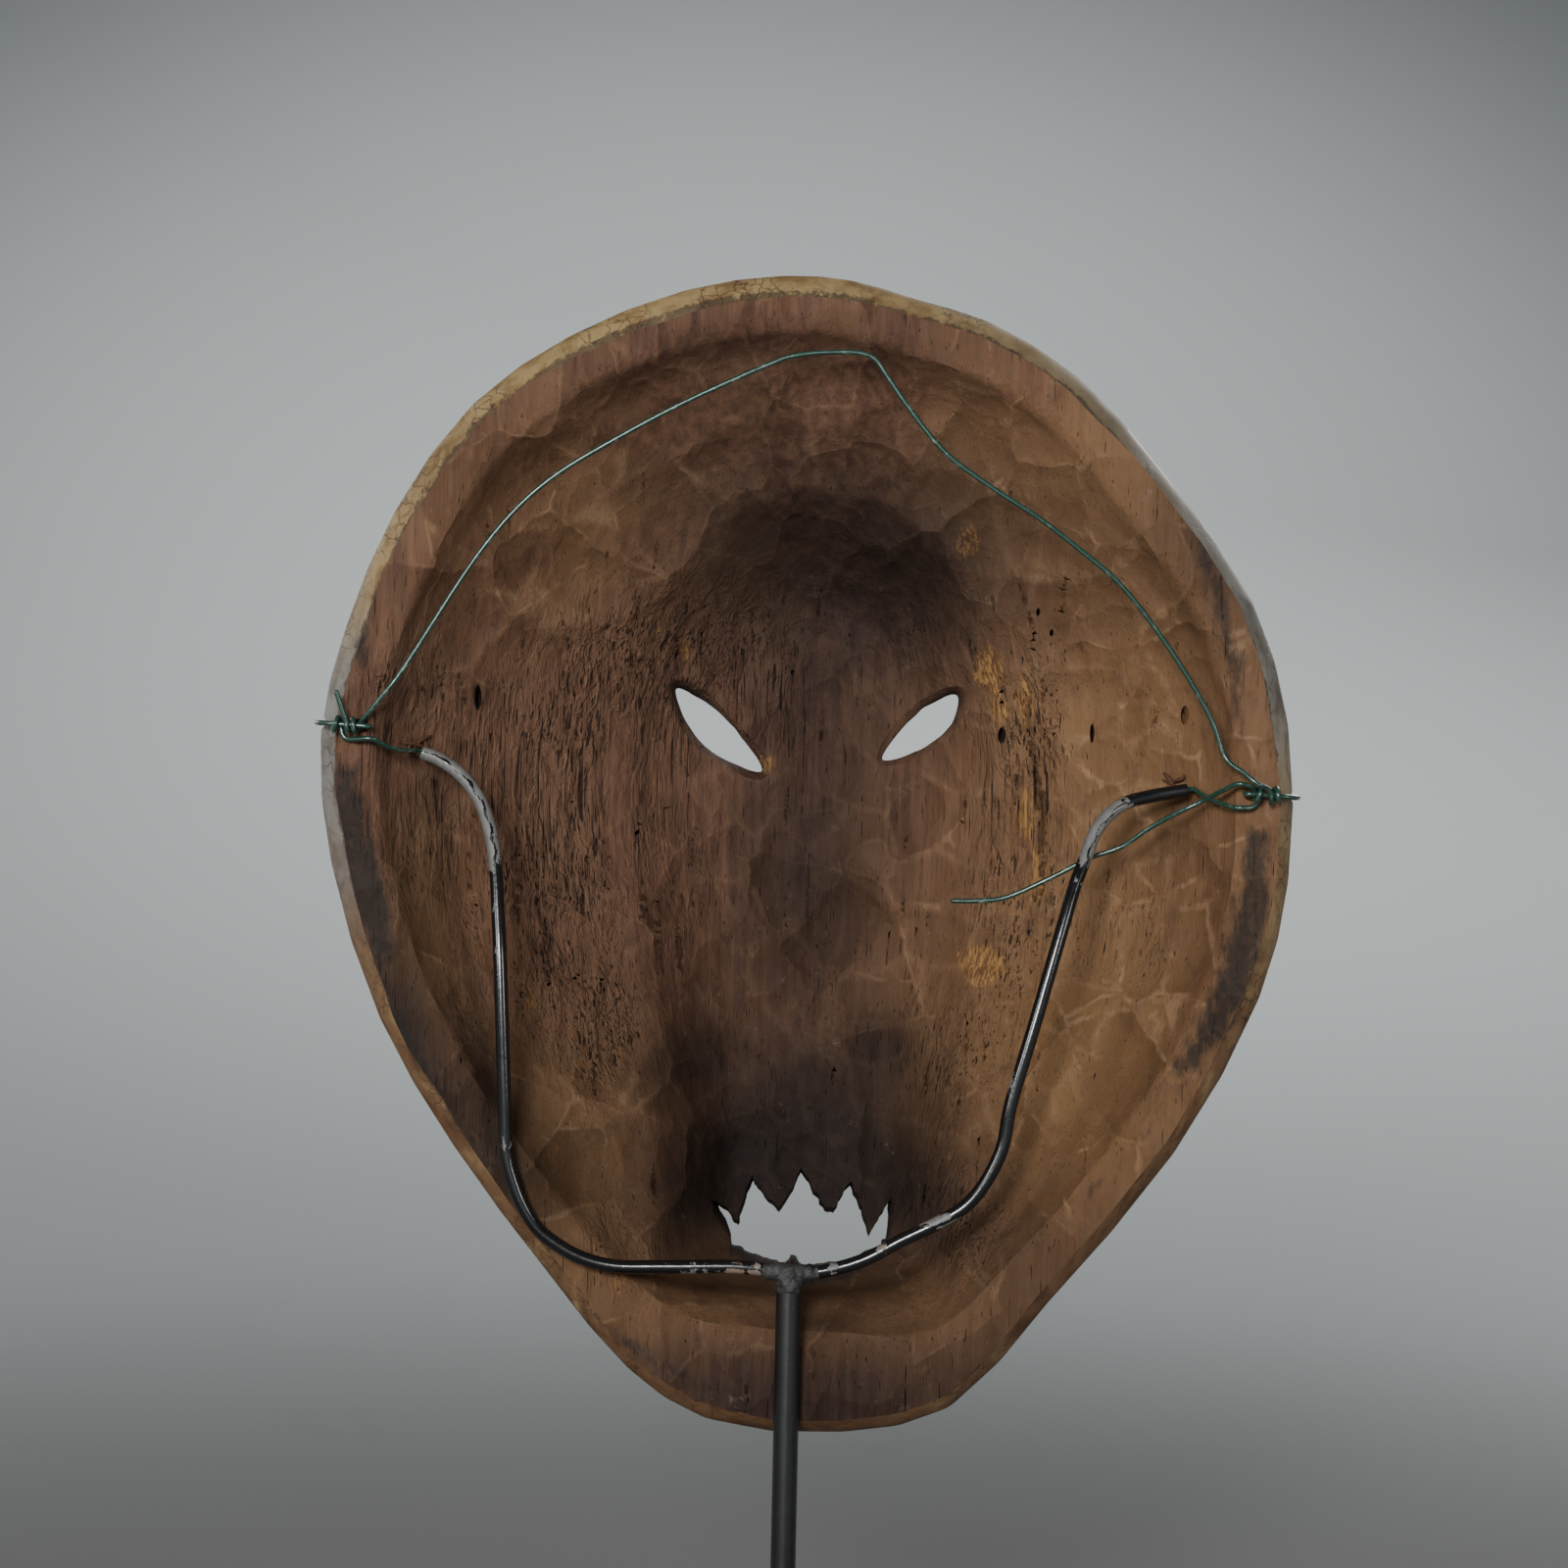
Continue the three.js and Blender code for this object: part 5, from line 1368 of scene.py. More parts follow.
def painted_wood():
    """The face and sides: ochre paint with black, white and red, crazed and worn to ground and wood."""
    f = Finish("painted_wood", Specular_IOR_Level=0.4)
    brush = f.grain((1.2, 5, 9), 4, 0.6)
    patches = f.grain((18, 18, 18), 4, 0.6, 0.4, shift=4)
    ragged = f.swing(f.grain((1.6, 1.6, 1.6), 4, 0.65, shift=6), 2.6)
    base = f.mix(f.step(0.3, 0.72, patches), OCHRE_DARK, OCHRE)
    base = f.mix(f.times(f.step(0.35, 0.7, brush), 0.35), base, OCHRE_BRUSHED)
    front = f.sum(1.0, f.times(f.field("side"), -1.0))

    def painted(colour, name, paint, strength=1.0):
        share = f.times(f.times(f.step(-0.35, 0.35, f.sum(f.field(name), ragged)), front), strength)
        return f.mix(share, colour, paint)

    base = painted(base, "spot_heart", SPOT_HEART, 0.75)
    base = painted(base, "white", f.mix(brush, PAINT_WHITE, PAINT_WHITE_DIM))
    base = painted(base, "red", f.mix(brush, PAINT_RED, PAINT_RED_DIM))
    base = painted(base, "teeth", TOOTH)
    base = painted(base, "black", PAINT_BLACK, 0.96)
    side_tone = f.mix(f.step(0.2, 0.8, f.field("grey")), SIDE_OCHRE, SIDE_GREY)
    side_tone = f.mix(f.times(f.field("low"), f.step(0.2, 0.5, patches)), side_tone, SIDE_BROWN)
    mottle = f.step(0.42, 0.66, f.grain((7, 4, 7), 5, 0.65, 0.5, shift=12))
    side_tone = f.tinged(f.times(mottle, 0.6), side_tone, SIDE_MOTTLE)
    border = f.sum(f.field("border"), f.swing(f.grain((2.5, 2.5, 4), 4, 0.7, shift=52), 2.2))
    side_tone = f.mix(f.times(f.field("shade"), 0.75), side_tone, SIDE_SHADE)
    side_tone = f.mix(f.times(f.step(0.55, 0.85, border), 0.75), side_tone, SIDE_DIRT)
    base = f.mix(f.field("side"), base, side_tone)
    coarse_wear = f.times(f.grain((6, 6, 8), 6, 0.72, 0.3, shift=15), 0.75)
    fine_wear = f.times(f.grain((1.1, 1.1, 1.4), 4, 0.7, shift=16), 0.25)
    wear = f.sum(f.sum(coarse_wear, fine_wear), f.times(f.field("worn"), 0.3))
    wear = f.sum(wear, f.times(f.field("side"), -0.22))
    ground_share = f.step(0.655, 0.672, wear)
    wood_share = f.step(0.705, 0.722, wear)
    grain = f.grain((0.8, 0.8, 18), 4, 0.6, shift=19)
    wood = f.mix(f.step(0.3, 0.7, grain), FACE_WOOD_DARK, FACE_WOOD)
    colour = f.mix(ground_share, base, f.mix(patches, GESSO, GESSO_DIRTY))
    colour = f.mix(wood_share, colour, wood)
    craze_shake = f.node("TexNoise", {"Vector": f.object, "Scale": 0.35}).outputs["Color"]
    shaken = f.maths("ADD", f.object, f.maths("SCALE", craze_shake, scale=3.0))
    craze_cells = f.node("TexVoronoi", {"Vector": shaken, "Scale": 0.24}, feature="DISTANCE_TO_EDGE")
    craze_areas = f.step(0.45, 0.6, f.grain((22, 22, 22), 2, 0.5, shift=25))
    craze = f.times(f.step(0.045, 0.012, craze_cells.outputs["Distance"]), craze_areas)
    colour = f.mix(f.times(craze, 0.6), colour, CRAZE)
    grime = f.times(f.step(0.42, 0.75, f.grain((10, 10, 14), 5, 0.7, shift=27)), 0.45)
    colour = f.tinged(grime, colour, GRIME)
    colour = f.mix(f.times(f.field("inner"), 0.8), colour, OPENING_WOOD)
    height = f.sum(f.times(brush, 0.25), f.times(ground_share, -0.35))
    height = f.sum(height, f.times(wood_share, f.sum(-0.45, f.times(grain, 0.4))))
    height = f.sum(height, f.times(craze, -0.4))
    rough = f.sum(0.46, f.times(f.sum(ground_share, f.times(patches, 0.4)), 0.28))
    return f.connect(Base_Color=colour, Roughness=rough, Normal=f.bump(height, 0.35))


def black_paint(name, gloss, chipped):
    """Semi-gloss black paint on steel, a little dusty, chipped to a pale ground where the field says so."""
    f = Finish(name, Specular_IOR_Level=0.7)
    peel = f.grain((1.4, 1.4, 1.4), 3, 0.5)
    haze = f.grain((14, 14, 14), 5, 0.65, shift=4)
    speck = f.grain((0.7, 0.7, 0.7), 2, 0.5, shift=7)
    colour = f.mix(haze, STEEL_BLACK, STEEL_BLACK_HAZY)
    colour = f.mix(f.times(f.step(0.7, 0.76, speck), 0.5), colour, STEEL_SPECK)
    rough = f.sum(gloss, f.times(haze, 0.2))
    height = f.times(peel, 0.3)
    if chipped:
        coarse_flake = f.times(f.grain((2.0, 2.0, 3.0), 5, 0.7, 0.6, shift=11), 1.5)
        flake = f.sum(coarse_flake, f.times(f.grain((0.7, 0.7, 0.7), 3, 0.6, shift=13), 0.5))
        chip = f.step(0.0, 0.03, f.sum(f.sum(f.field("chip"), -1.62), flake))
        ground = f.mix(f.grain((1.6, 1.6, 2.6), 4, 0.7, shift=2), CHIP_DARK, CHIP_PALE)
        warm = f.mix(f.field("rusty"), ground, f.mix(speck, RUST_PALE, RUST_DARK))
        colour = f.mix(chip, colour, warm)
        rough = f.sum(rough, f.times(chip, 0.35))
        height = f.sum(height, f.times(chip, -1.0))
    return f.connect(Base_Color=colour, Roughness=rough, Normal=f.bump(height, 0.12))


def weld_metal():
    """A weld that was half painted: black with grey and a few pale marks, rippled and pitted."""
    f = Finish("weld_metal")
    lumps = f.grain((1.6, 1.6, 1.2), 5, 0.65, 0.4)
    marks = f.grain((2.4, 2.4, 2.4), 4, 0.7, shift=5)
    colour = f.mix(f.step(0.35, 0.62, marks), WELD_BLACK, WELD_GREY)
    colour = f.mix(f.times(f.step(0.66, 0.72, lumps), 0.7), colour, WELD_MARK)
    rough = f.sum(0.38, f.times(marks, 0.25))
    return f.connect(Base_Color=colour, Roughness=rough, Normal=f.bump(lumps, 0.5))


def green_wire():
    """Dark green plastic on wire, rubbed pale in places; the pattern follows the wire."""
    f = Finish("green_wire", Coat_Weight=0.5, Coat_Roughness=0.12)
    where = f.maths("MULTIPLY", f.coordinates.outputs["UV"], (1.0, 4.0, 0.0))
    rub = f.grain((3.5, 1.6, 1), 5, 0.7, where=where)
    tone = f.grain((22, 3, 1), 3, 0.6, where=where, shift=6)
    colour = f.mix(tone, WIRE_DARK, WIRE_GREEN)
    colour = f.mix(f.times(f.step(0.55, 0.7, rub), 0.7), colour, WIRE_RUBBED)
    colour = f.mix(f.times(f.step(0.62, 0.74, tone), 0.5), colour, WIRE_DIRTY)
    rough = f.sum(0.14, f.times(rub, 0.25))
    return f.connect(Base_Color=colour, Roughness=rough, Normal=f.bump(rub, 0.06))


def felt_cloth():
    f = Finish("felt_cloth", Roughness=1.0, Specular_IOR_Level=0.1, Sheen_Weight=0.3, Sheen_Roughness=0.6)
    fuzz = f.grain((0.5, 0.5, 0.5), 5, 0.75, 0.6)
    mat = f.grain((3, 3, 3), 4, 0.7, shift=5)
    colour = f.mix(f.times(f.sum(fuzz, mat), 0.5), FELT_DARK, FELT_PALE)
    return f.connect(Base_Color=colour, Normal=f.bump(fuzz, 0.5))


def zinc_steel():
    f = Finish("zinc_steel", Metallic=1.0)
    bloom = f.grain((1.2, 1.2, 1.2), 5, 0.7)
    colour = f.mix(bloom, ZINC_DARK, ZINC_PALE)
    rough = f.sum(0.25, f.times(bloom, 0.25))
    return f.connect(Base_Color=colour, Roughness=rough, Normal=f.bump(bloom, 0.04))


def backdrop_paper():
    """Plain paper, with painted shade near the stand, a little lighter away from it."""
    f = Finish("backdrop_paper", Roughness=0.9, Specular_IOR_Level=0.15)
    away = f.node("VectorMath", {"Vector": f.object}, operation="LENGTH").outputs["Value"]
    return f.connect(Base_Color=f.mix(f.step(FLOOR_END, WALL_START, away), FLOOR_PAINTED_SHADE, WALL_GREY))


# ------------------------------------------------ the mask


def make_mask():
    made = add_object("carved_mask", mask_blank())
    for material in (bare_wood(), painted_wood()):
        made.data.materials.append(material)
    for tool in cut_tools():
        cut_out(made, tool)
    paint_openings(made.data)
    mask_fields(made.data)
    finish_piece(made, "mask", None, "mask_shell")


# ------------------------------------------------ the stand

# Arm routes, as in the part's source: [across, up, share of the way from the rim's height down to the tip's].
LEFT_ARM = [
    [0.09, 0.145, 0], [0.25, 0.144, 0], [0.36, 0.144, 0], [0.42, 0.15, 0], [0.468, 0.16, 0],
    [0.512, 0.174, 0], [0.543, 0.193, 0], [0.564, 0.214, 0], [0.578, 0.235, 0], [0.586, 0.286, 0],
    [0.602, 0.403, 0.14], [0.61, 0.445, 0.3], [0.62, 0.487, 0.5], [0.635, 0.517, 0.66], [0.66, 0.542, 0.8],
    [0.702, 0.563, 0.92], [0.745, 0.575, 0.98], [0.782, 0.581, 1],
]
RIGHT_ARM = [
    [-0.07, 0.143, 0], [-0.149, 0.153, 0], [-0.228, 0.171, 0], [-0.307, 0.188, 0],
    [-0.357, 0.202, 0], [-0.395, 0.222, 0], [-0.428, 0.252, 0], [-0.442, 0.286, 0], [-0.489, 0.358, 0.05],
    [-0.545, 0.443, 0.25], [-0.569, 0.477, 0.42], [-0.592, 0.502, 0.58], [-0.611, 0.523, 0.7],
    [-0.64, 0.539, 0.82], [-0.679, 0.55, 0.92], [-0.73, 0.556, 0.98], [-0.805, 0.562, 1],
]
TIP_GAP = 1.1
POST_RADIUS = 3.2
POST_TOP = corners("post")[1][2]
WELD_MIDDLE = np.array([0.0, 0.0, sum(corner[2] for corner in corners("weld_bead")) / 2])
BORE_RADIUS = 1.07
BORE_DEPTH = TIE_IN_TIP + 0.84
ARM_STEPS = 22  # from one point of the route to the next
ARM_SIDES = 24
TIP_CHAMFER = 0.35

# Chipped paint on the arms: [across, up, half length, half height in mm, strength].
CHIPS = [
    (0.755, 0.576, 7, 5, 1.15), (0.7, 0.563, 8, 6, 1.2), (0.665, 0.54, 5, 6, 1.2),
    (0.645, 0.52, 4.2, 6.5, 1.2), (0.628, 0.495, 3, 6, 1.05), (0.62, 0.447, 2, 3, 0.6),
    (0.61, 0.41, 2, 2.6, 0.55), (0.58, 0.248, 2.4, 4, 0.6), (0.19, 0.143, 8, 2.6, 0.75),
    (0.11, 0.143, 3.4, 2.6, 0.9), (0.07, 0.143, 2.4, 2.4, 0.9), (-0.655, 0.538, 9, 6, 1.1),
    (-0.62, 0.522, 5, 6, 1.1), (-0.6, 0.508, 4, 6, 1.1), (-0.572, 0.48, 2.2, 3.4, 0.6),
    (-0.44, 0.31, 2.2, 5, 0.7), (-0.3, 0.188, 8, 3, 0.85), (-0.19, 0.165, 3, 2.4, 0.7),
    (-0.09, 0.146, 2.4, 2.2, 0.8),
]


def bowl_y(x, z):
    return float(RIM_Y - hollow_depth(np.array([x]), np.array([z]))[0])


def arm_points(route):
    tip_x, tip_z = place(route[-1])
    tip_y = bowl_y(tip_x, tip_z) + ARM_RADIUS + TIP_GAP
    return np.array([WELD_MIDDLE] + [[*place(spot)[:1], spot[2] * tip_y, place(spot)[1]] for spot in route])


LEFT_POINTS = arm_points(LEFT_ARM)
RIGHT_POINTS = arm_points(RIGHT_ARM)


def make_arm(name, points, node, material):
    """A bent rod with a bored tip that the tie wire goes into."""
    surface = Surface()
    path = curve(points, ARM_STEPS)
    bored_tip = [
        (0.0, ARM_RADIUS), (0.5 * TIP_CHAMFER, ARM_RADIUS - 0.15 * TIP_CHAMFER),
        (TIP_CHAMFER, ARM_RADIUS - TIP_CHAMFER), (TIP_CHAMFER, BORE_RADIUS),
        (-BORE_DEPTH, BORE_RADIUS), (-BORE_DEPTH, 0.0),
    ]
    tip_length = np.linalg.norm(path[-1] - path[-3])
    tip = [(far + tip_length - TIP_CHAMFER, wide) for far, wide in bored_tip]
    tube(surface, path[:-2], ARM_RADIUS, ARM_SIDES, end=tip)
    mesh = surface.mesh(name)
    x, y, z = points_of(mesh).T
    chip = np.zeros(len(x))
    for u, v, wide, high, strength in CHIPS:
        middle = place((u, v))
        lump = np.exp(-(np.hypot((x - middle[0]) / wide, (z - middle[1]) / high) ** 3))
        chip = np.maximum(chip, strength * lump)
    stations = path[::6]
    nearest = np.hypot(x[:, None] - stations[:, 0], z[:, None] - stations[:, 2]).argmin(1)
    behind = smooth(-1.6, 0.2, y - stations[nearest, 1])
    rusty = hill(x, z, place((0.1, 0.143)), 5, 4) + 0.5 * hill(x, z, place((-0.19, 0.165)), 4, 3)
    ways = np.gradient(stations, axis=0)[nearest]
    sideways = np.stack([-ways[:, 2], ways[:, 0]], -1) / np.hypot(ways[:, 0], ways[:, 2])[:, None]
    aside = ((np.stack([x, z], -1) - stations[nearest][:, [0, 2]]) * sideways).sum(1)
    seam = np.exp(-(((aside - 0.3 * np.sin(1.1 * z) - 0.35) / 0.36) ** 2))
    write_fields(mesh, {"chip": chip * (0.25 + 0.75 * behind) * (1 - 0.68 * seam), "rusty": rusty})
    finish_piece(add_object(name, mesh), "stand", material, node)


def make_weld(material):
    """A lump of weld round the post's end and the first length of both arms, melted into one."""
    surface = Surface()

    def ripple(turn, height):
        return 0.22 * np.sin(3 * turn + 1.2 * height) + 0.12 * np.sin(7 * turn - 2.1 * height + 1)

    low, high = POST_TOP - 1.4, WELD_MIDDLE[2]
    turned(surface, [
        [0.4, low], [2.6, low + 0.05], [3.3, low + 0.3], [3.5, low + 1.1], [3.5, high - 2.2],
        [3.35, high - 0.8], [2.9, high + 0.4], [2.3, high + 1.1], [1.4, high + 1.5], [0.4, high + 1.6],
    ], 40, wobble=ripple)
    for points, length, wide in ((LEFT_POINTS, 7.2, 0.72), (RIGHT_POINTS, 7.8, 0.62)):
        path = curve(points, ARM_STEPS)
        far = np.concatenate([[0], np.cumsum(np.linalg.norm(np.diff(path, axis=0), axis=1))])
        path, far = path[far < length], far[far < length]
        bead = ARM_RADIUS + wide * (1 - smooth(length - 3.2, length + 0.8, far)) + 0.16 * np.sin(2.6 * far)
        flat_end = [(0.1, ARM_RADIUS - 0.1), (0.1, 0.0)]
        tube(surface, path, bead, ARM_SIDES, start=[(0.1, 1.5), (0.4, 0.0)], end=flat_end)
    made = add_object("weld_lump", surface.mesh("weld_lump"))
    melt = made.modifiers.new("melt", "REMESH")
    melt.mode = "VOXEL"
    melt.voxel_size = 0.27 * MM
    smooth_out = made.modifiers.new("smooth", "SMOOTH")
    smooth_out.iterations = 5
    apply_modifiers(made)
    finish_piece(made, "stand", material, "weld_bead", 70)


def rounded_square(side, corner, per_corner=10):
    """A square outline with round corners, anticlockwise, [x, y]."""
    turn = (np.arange(4)[:, None] * 90 + np.linspace(0, 90, per_corner)[None]) / 180 * math.pi
    middle = side / 2 - corner
    centre_x = middle * np.array([1, -1, -1, 1])[:, None]
    centre_y = middle * np.array([1, 1, -1, -1])[:, None]
    return np.stack([centre_x + corner * np.cos(turn), centre_y + corner * np.sin(turn)], -1).reshape(-1, 2)


def slab(surface, side, corner, levels):
    """A rounded square plate: at each [inset, z] level its outline is that much smaller."""
    sections = []
    for inset, z in levels:
        outline = rounded_square(side - 2 * inset, max(corner - inset, 0.3 * corner))
        sections.append(np.column_stack([outline, np.full(len(outline), z)]))
    loft(surface, np.array(sections))


# Torn wood fibres beside the arms' tips: [across, up, length in mm, turn in degrees].
FIBRES = [
    (0.795, 0.586, 5.5, 20), (0.785, 0.59, 4.5, -35), (0.805, 0.584, 4.5, 75), (0.775, 0.587, 3.6, 50),
    (-0.78, 0.566, 5, 20), (-0.79, 0.571, 4.5, -50), (-0.772, 0.57, 4, 70),
]


def make_fibres():
    """Dark splinters that stand up a little from the hollow: thin tubes, thickest in the middle."""
    surface = Surface()
    for number, (u, v, length, degrees) in enumerate(FIBRES):
        x, z = place((u, v))
        t = np.linspace(-1, 1, 13)
        turn = math.radians(degrees)
        px = x + 0.5 * length * t * math.cos(turn) + 0.5 * np.sin(2.2 * t + number)
        pz = z + 0.5 * length * t * math.sin(turn) + 0.5 * np.cos(1.7 * t + number)
        py = back_y(px, pz) + 0.5 + 0.9 * (1 - t**2)
        tube(surface, np.stack([px, py, pz], -1), 0.22 + 0.34 * (1 - t**2), 10)
    f = Finish("dark_fibre", Roughness=0.85, Specular_IOR_Level=0.2)
    grain = f.grain((0.5, 0.5, 0.5), 4, 0.6)
    material = f.connect(Base_Color=f.mix(grain, SLIT_SHADE_AND_FIBRE_DARK, SPLINTER), Normal=f.bump(grain, 0.15))
    add_piece("wood_fibres", surface, "mask", material, None)


BASE_SIDE = 120.0
BASE_CORNER = 7.0
BASE_EDGE = 0.8
FELT_SIDE = 118.0
FELT_CORNER = 6.0
FOOT_SUNK = 0.25
FILLET = 0.9
POST_TOP_EDGE = 0.8
PIN = 0.3  # radius of the ring that a turned shape's end is closed from


def make_post(paint):
    """The post, with a small fillet at its foot and a chamfered top."""
    foot = corners("post")[0][2] - FOOT_SUNK
    turns = np.radians([0, 25, 50, 75])
    fillet = [[POST_RADIUS + FILLET * (1 - math.sin(t)), foot + FILLET * (1 - math.cos(t))] for t in turns]
    shaft = [[POST_RADIUS, foot + rise] for rise in (1.2, 30, 60, 90)]
    top = [[POST_RADIUS, POST_TOP - POST_TOP_EDGE], [POST_RADIUS - POST_TOP_EDGE, POST_TOP], [PIN, POST_TOP]]
    post = Surface()
    turned(post, [[PIN, foot], *fillet, *shaft, *top], 64)
    add_piece("steel_post", post, "stand", paint, "post")


def make_base(paint):
    """The base plate with rounded edges, the felt under it, and the screw in a zinc finish."""
    bottom, top = (corner[2] for corner in corners("base_plate"))
    turns = np.radians([90, 60, 30, 0])
    edge = [(BASE_EDGE * (1 - math.cos(t)), BASE_EDGE * (1 - math.sin(t))) for t in turns]
    lower = [(30, bottom), (2, bottom), *[(inset, bottom + rise) for inset, rise in edge]]
    upper = [*[(inset, top - rise) for inset, rise in edge[::-1]], (2, top), (30, top)]
    base = Surface()
    slab(base, BASE_SIDE, BASE_CORNER, lower + upper)
    add_piece("painted_base", base, "stand", paint, "base_plate")
    low, high = (corner[2] for corner in corners("felt_pad"))
    insets = ((30, 0), (1, 0), (0.25, 0.1), (0, 0.4))
    felt = Surface()
    lower = [(inset, low + rise) for inset, rise in insets]
    slab(felt, FELT_SIDE, FELT_CORNER, lower + [(inset, high - rise) for inset, rise in insets[::-1]])
    add_piece("felt_underlay", felt, "stand", felt_cloth(), "felt_pad")
    screw = frame["nodes"]["base_screw"]
    screw.data.materials.clear()
    screw.data.materials.append(zinc_steel())


def make_stand():
    chipped_paint = black_paint("black_arm_paint", 0.1, chipped=True)
    make_arm("left_bent_arm", LEFT_POINTS, "left_arm", chipped_paint)
    make_arm("right_bent_arm", RIGHT_POINTS, "right_arm", chipped_paint)
    make_weld(weld_metal())
    make_post(black_paint("black_stand_paint", 0.26, chipped=False))
    make_base(black_paint("black_base_paint", 0.46, chipped=False))


# ------------------------------------------------ wires

# The hanging wire from the left knot over the top to the right knot, [across, up].
HANGER = [
    [0.854, 0.627], [0.806, 0.654], [0.758, 0.688], [0.709, 0.722], [0.642, 0.767], [0.563, 0.804],
    [0.494, 0.8265], [0.421, 0.8445], [0.346, 0.8635], [0.247, 0.887], [0.148, 0.906], [0.069, 0.922],
    [0.019, 0.928], [-0.05, 0.931], [-0.11, 0.9305], [-0.135, 0.926], [-0.162, 0.911], [-0.203, 0.887],
    [-0.254, 0.86], [-0.291, 0.844], [-0.336, 0.83], [-0.397, 0.813], [-0.478, 0.792], [-0.558, 0.767],
    [-0.64, 0.739], [-0.712, 0.703], [-0.784, 0.66], [-0.836, 0.622], [-0.868, 0.589],
]
# The right tie's free tail, [across, up, mm from the tip along Y].
TAIL = [
    [-0.829, 0.5525, 6.6], [-0.794, 0.545, 5.6], [-0.764, 0.538, 3.5], [-0.723, 0.527, 0.8],
    [-0.67, 0.511, -1.2], [-0.608, 0.501, -2], [-0.533, 0.484, -2.6], [-0.43, 0.464, -3.4],
    [-0.373, 0.461, -3.7], [-0.325, 0.4605, -4],
]
WIRE_GAP = 0.42
LOOSER = 0.32  # the hanging wire's right coil is wider by this, clear of the loop when it swings
WIRE_WIDE = 2 * WIRE_RADIUS
WIRE_STEPS = 8  # from one point of the route to the next
WIRE_SIDES = 14
LEFT, RIGHT = 1, -1


def coil(side, outwards, from_degrees, to_degrees, pitch, radius=COIL_RADIUS):
    """Turns round the hinge line: 0 degrees is above it and 90 is behind it, away from the rim."""
    degrees = abs(to_degrees - from_degrees)
    points = []
    for t in np.linspace(0, 1, math.ceil(degrees / 36) + 1):
        turn = math.radians(from_degrees + (to_degrees - from_degrees) * t)
        along = outwards + pitch * degrees * t / 360
        points.append(at_knot(side, along, radius * math.sin(turn), radius * math.cos(turn)))
    return points


def end_way(points):
    way = points[-1] - points[-2]
    return way / np.linalg.norm(way)


def out_of_bore(points):
    reaches = ((-TIE_IN_TIP, 0), (-1, 0), (0.3, 0.1), (1.6, 1.3))
    return [points[-1] + along * end_way(points) + np.array([0, lift, 0]) for along, lift in reaches]


def tie_route(points, side, route):
    """Between an arm's tip and a knot: share of the way, rise above that line, and height over the wood."""
    places = []
    for share, above, lift in route:
        spot = points[-1] + (at_knot(side, 0, 0) - points[-1]) * share + np.array([0, 0, above])
        places.append(np.array([spot[0], bowl_y(spot[0], spot[2]) + lift * WIRE_WIDE, spot[2]]))
    return places


def over_rim_edge(side, above):
    return at_knot(side, KNOT_INSET - BEVEL_WIDTH - RIM_WIDTH + 0.4, FACE_Y + 1.7 * WIRE_WIDE, above)


def hanging_route():
    tail = [at_knot(LEFT, 4.2, COIL_RADIUS + 0.9, 8), at_knot(LEFT, 2.3, COIL_RADIUS + 0.5, 3.2)]
    span = [np.array([across(u), KNOT_Y, up(v)]) for u, v in HANGER]
    over_tie = [at_knot(RIGHT, -6, 2.2, 5.4), at_knot(RIGHT, -2, 3.6, 2.6), at_knot(RIGHT, 0.6, 2.4, 1.6)]
    return tail + coil(LEFT, 1.3, 75, 630, -COIL_PITCH) + span + over_tie + coil(
        RIGHT, 1.6, 80, 480, COIL_PITCH, COIL_RADIUS + LOOSER)


def left_tie_route():
    return [
        *out_of_bore(LEFT_POINTS), *tie_route(LEFT_POINTS, LEFT, [[0.22, -1.3, 3.3], [0.43, -2.3, 3.6]]),
        over_rim_edge(LEFT, -3.1), at_knot(LEFT, 1.6, -COIL_RADIUS + 0.3, -3.4),
        *coil(LEFT, 3.1, 262, 640, COIL_PITCH),
    ]


def right_tie_route():
    tip = RIGHT_POINTS[-1]
    return [
        *out_of_bore(RIGHT_POINTS), *tie_route(RIGHT_POINTS, RIGHT, [[0.21, -1.4, 3.3], [0.4, -3.1, 3.6]]),
        over_rim_edge(RIGHT, -3.7), at_knot(RIGHT, -2.2, -COIL_RADIUS + 0.3, -3.1),
        *coil(RIGHT, -0.3, 262, 690, -COIL_PITCH),
        *tie_route(RIGHT_POINTS, RIGHT, [[0.65, 2.4, 2.3], [0.4, 0.1, 4.4]]),
        *[np.array([across(u), tip[1] + along, up(v)]) for u, v, along in TAIL],
    ]


def loop_route(side):
    """A closed loop: along the hinge line, round the rim's edge and back through the hole."""
    clear = WIRE_RADIUS + WIRE_GAP
    bend = WIRE_WIDE + 0.1
    back_edge = KNOT_INSET - BEVEL_WIDTH
    inner, outer = np.array(HOLE_INNER), np.array(HOLE_OUTER)
    inside = [inner + (outer - inner) * t for t in (0.88, 0.7, 0.45, 0.2, 0.02)]
    route = [
        (inner[0] + 0.4, 0), (-1, 0), (1, 0), (back_edge - 1, 0), (back_edge + 1, 0), (back_edge + 2.9, -0.8),
        (KNOT_INSET, FACE_Y + 0.2), (KNOT_INSET + 0.8 * clear, FACE_Y - 0.5 * BEVEL_DEPTH),
        (KNOT_INSET + clear, FACE_Y - BEVEL_DEPTH + 0.6), (KNOT_INSET + clear, outer[1] - 0.1),
        (KNOT_INSET + 0.2, outer[1] - 0.75), *inside, (inner[0] - 0.62 * bend, -1.25 * bend),
        (inner[0] - 0.9 * bend, -0.6 * bend), (inner[0] - 0.45 * bend, -0.1 * bend),
    ]
    return [at_knot(side, outwards, y) for outwards, y in route]


def relaxed(path, first, last):
    """Takes the waver out of a stretch of a path, given as shares of its length."""
    path = path.copy()
    stretch = slice(int(first * len(path)), int(last * len(path)))
    for _ in range(60):
        inner = path[stretch]
        inner[1:-1] += 0.5 * (0.5 * (inner[:-2] + inner[2:]) - inner[1:-1])
    return path


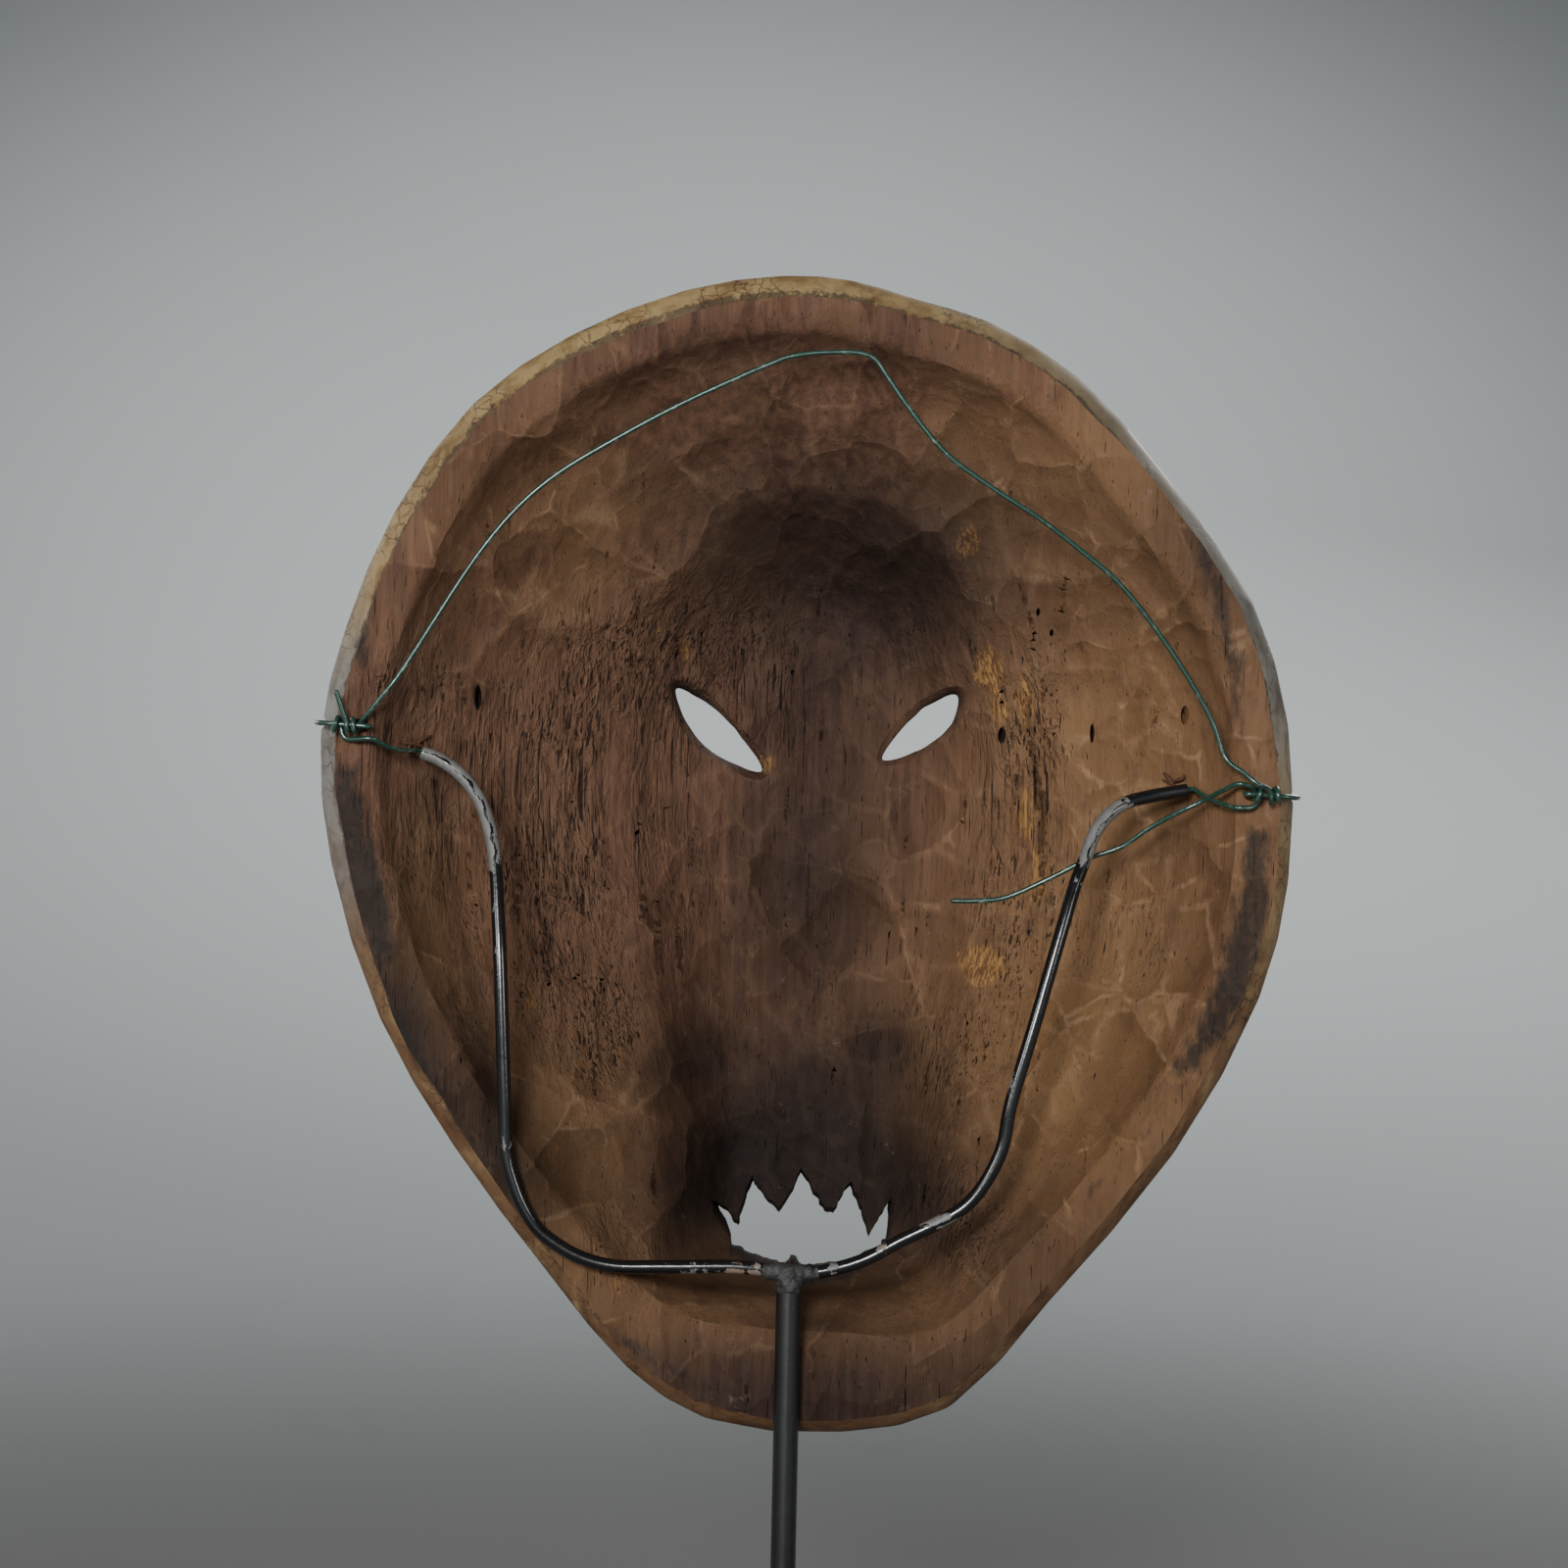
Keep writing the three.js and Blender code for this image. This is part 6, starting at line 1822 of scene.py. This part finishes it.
def make_wires():
    material = green_wire()
    for name, body, node, route, closed, slack in (
        ("left_wire_loop", "mask", "left_rim_loop", loop_route(LEFT), True, None),
        ("right_wire_loop", "mask", "right_rim_loop", loop_route(RIGHT), True, None),
        ("left_wire_tie", "mask", "left_arm_tie", left_tie_route(), False, (3, 6.5)),
        ("right_wire_tie", "mask", "right_arm_tie", right_tie_route(), False, (3, 6)),
        ("hanging_wire", "hanger", "hanger_wire", hanging_route(), False, (20, 31)),
    ):
        surface = Surface()
        path = curve(route, WIRE_STEPS, closed=closed)
        if slack:
            path = relaxed(path, slack[0] / len(route), slack[1] / len(route))
        shake = np.arange(len(path)) * 0.31
        radius = WIRE_RADIUS * (1 + 0.02 * np.sin(shake) * np.sin(2.3 * shake + 1))
        tube(surface, path, radius, WIRE_SIDES, closed=closed)
        add_piece(name, surface, body, material, node)


# ------------------------------------------------ stage

FLOOR_RADIUS = 0.9
WALL_RADIUS = 3.2
WALL_HEIGHT = 4.0
ROOM_STRENGTH = 0.18
CAMERA_AT = (0.00389, 0.8965, 0.271)
CAMERA_ROLL = -1.2
CAMERA_LENS = 81


def make_stage():
    """A plain pale bowl: a floor that turns up into a round wall, a profile turned about the upright axis."""
    sweep_radius = WALL_RADIUS - FLOOR_RADIUS
    turns = np.linspace(0, math.pi / 2, 40)
    bend = [(FLOOR_RADIUS + sweep_radius * math.sin(t), sweep_radius * (1 - math.cos(t))) for t in turns]
    profile = np.array([(0.0005, 0.0), (0.3, 0.0), (0.6, 0.0), *bend, (WALL_RADIUS, WALL_HEIGHT)])
    turn = np.arange(96) / 96 * 2 * math.pi
    ring = np.stack([np.cos(turn), np.sin(turn)], -1)
    heights = np.broadcast_to(profile[:, None, 1:], (len(profile), len(turn), 1))
    points = np.concatenate([profile[:, None, :1] * ring[None], heights], -1) / MM
    surface = Surface()
    surface.grid(points, wrap_columns=True, flip=True)
    sweep = add_object("backdrop", surface.mesh("backdrop"))
    sweep.data.shade_smooth()
    sweep.data.materials.append(backdrop_paper())


def add_light(name, kind, at, towards, watts, wide):
    """A lamp of that many watts; wide is an area lamp's side in metres or a spot's cone in degrees."""
    light = bpy.data.lights.new(name, kind)
    light.energy = watts
    if kind == "AREA":
        light.size = wide
    else:
        light.spot_size = math.radians(wide)
        light.spot_blend = 1.0
        light.shadow_soft_size = 0.4
    made = add_object(name, light)
    made.location = at
    made.rotation_euler = (Vector(at) - Vector(towards)).to_track_quat("Z", "Y").to_euler()
    made.visible_camera = False


def make_lights():
    middle = (0.0, 0.0, 0.25)
    add_light("key", "AREA", (0.3, 1.45, 0.62), middle, 22, 0.35)
    add_light("left_strip", "AREA", (0.9, 0.9, 0.5), middle, 4, 0.3)
    add_light("right_strip", "AREA", (-0.9, 0.9, 0.45), middle, 3, 0.3)
    add_light("face_key", "AREA", (-0.9, -1.5, 1.3), middle, 26, 0.9)
    add_light("face_fill", "AREA", (1.4, -1.1, 0.7), middle, 8, 1.2)
    add_light("glow", "SPOT", (0.05, -1.3, 2.5), (0.05, -2.3, 0.5), 290, 64)
    add_light("far_glow", "SPOT", (0.0, 1.5, 2.5), (0.0, 2.2, 0.35), 260, 70)
    world = bpy.data.worlds.new("room")
    bpy.context.scene.world = world
    world.use_nodes = True
    room = world.node_tree.nodes["Background"]
    room.inputs["Color"].default_value = ROOM_GREY
    room.inputs["Strength"].default_value = ROOM_STRENGTH


def make_camera():
    """Level with the middle of the mask, straight behind it, a little rolled."""
    camera = bpy.data.objects.new("camera", bpy.data.cameras.new("camera"))
    bpy.context.scene.collection.objects.link(camera)
    bpy.context.scene.camera = camera
    camera.location = CAMERA_AT
    camera.rotation_euler = (math.radians(90), math.radians(CAMERA_ROLL), math.radians(180))
    camera.data.lens = CAMERA_LENS
    camera.data.clip_end = 50


make_mask()
make_fibres()
make_stand()
make_wires()
make_stage()
make_lights()
make_camera()
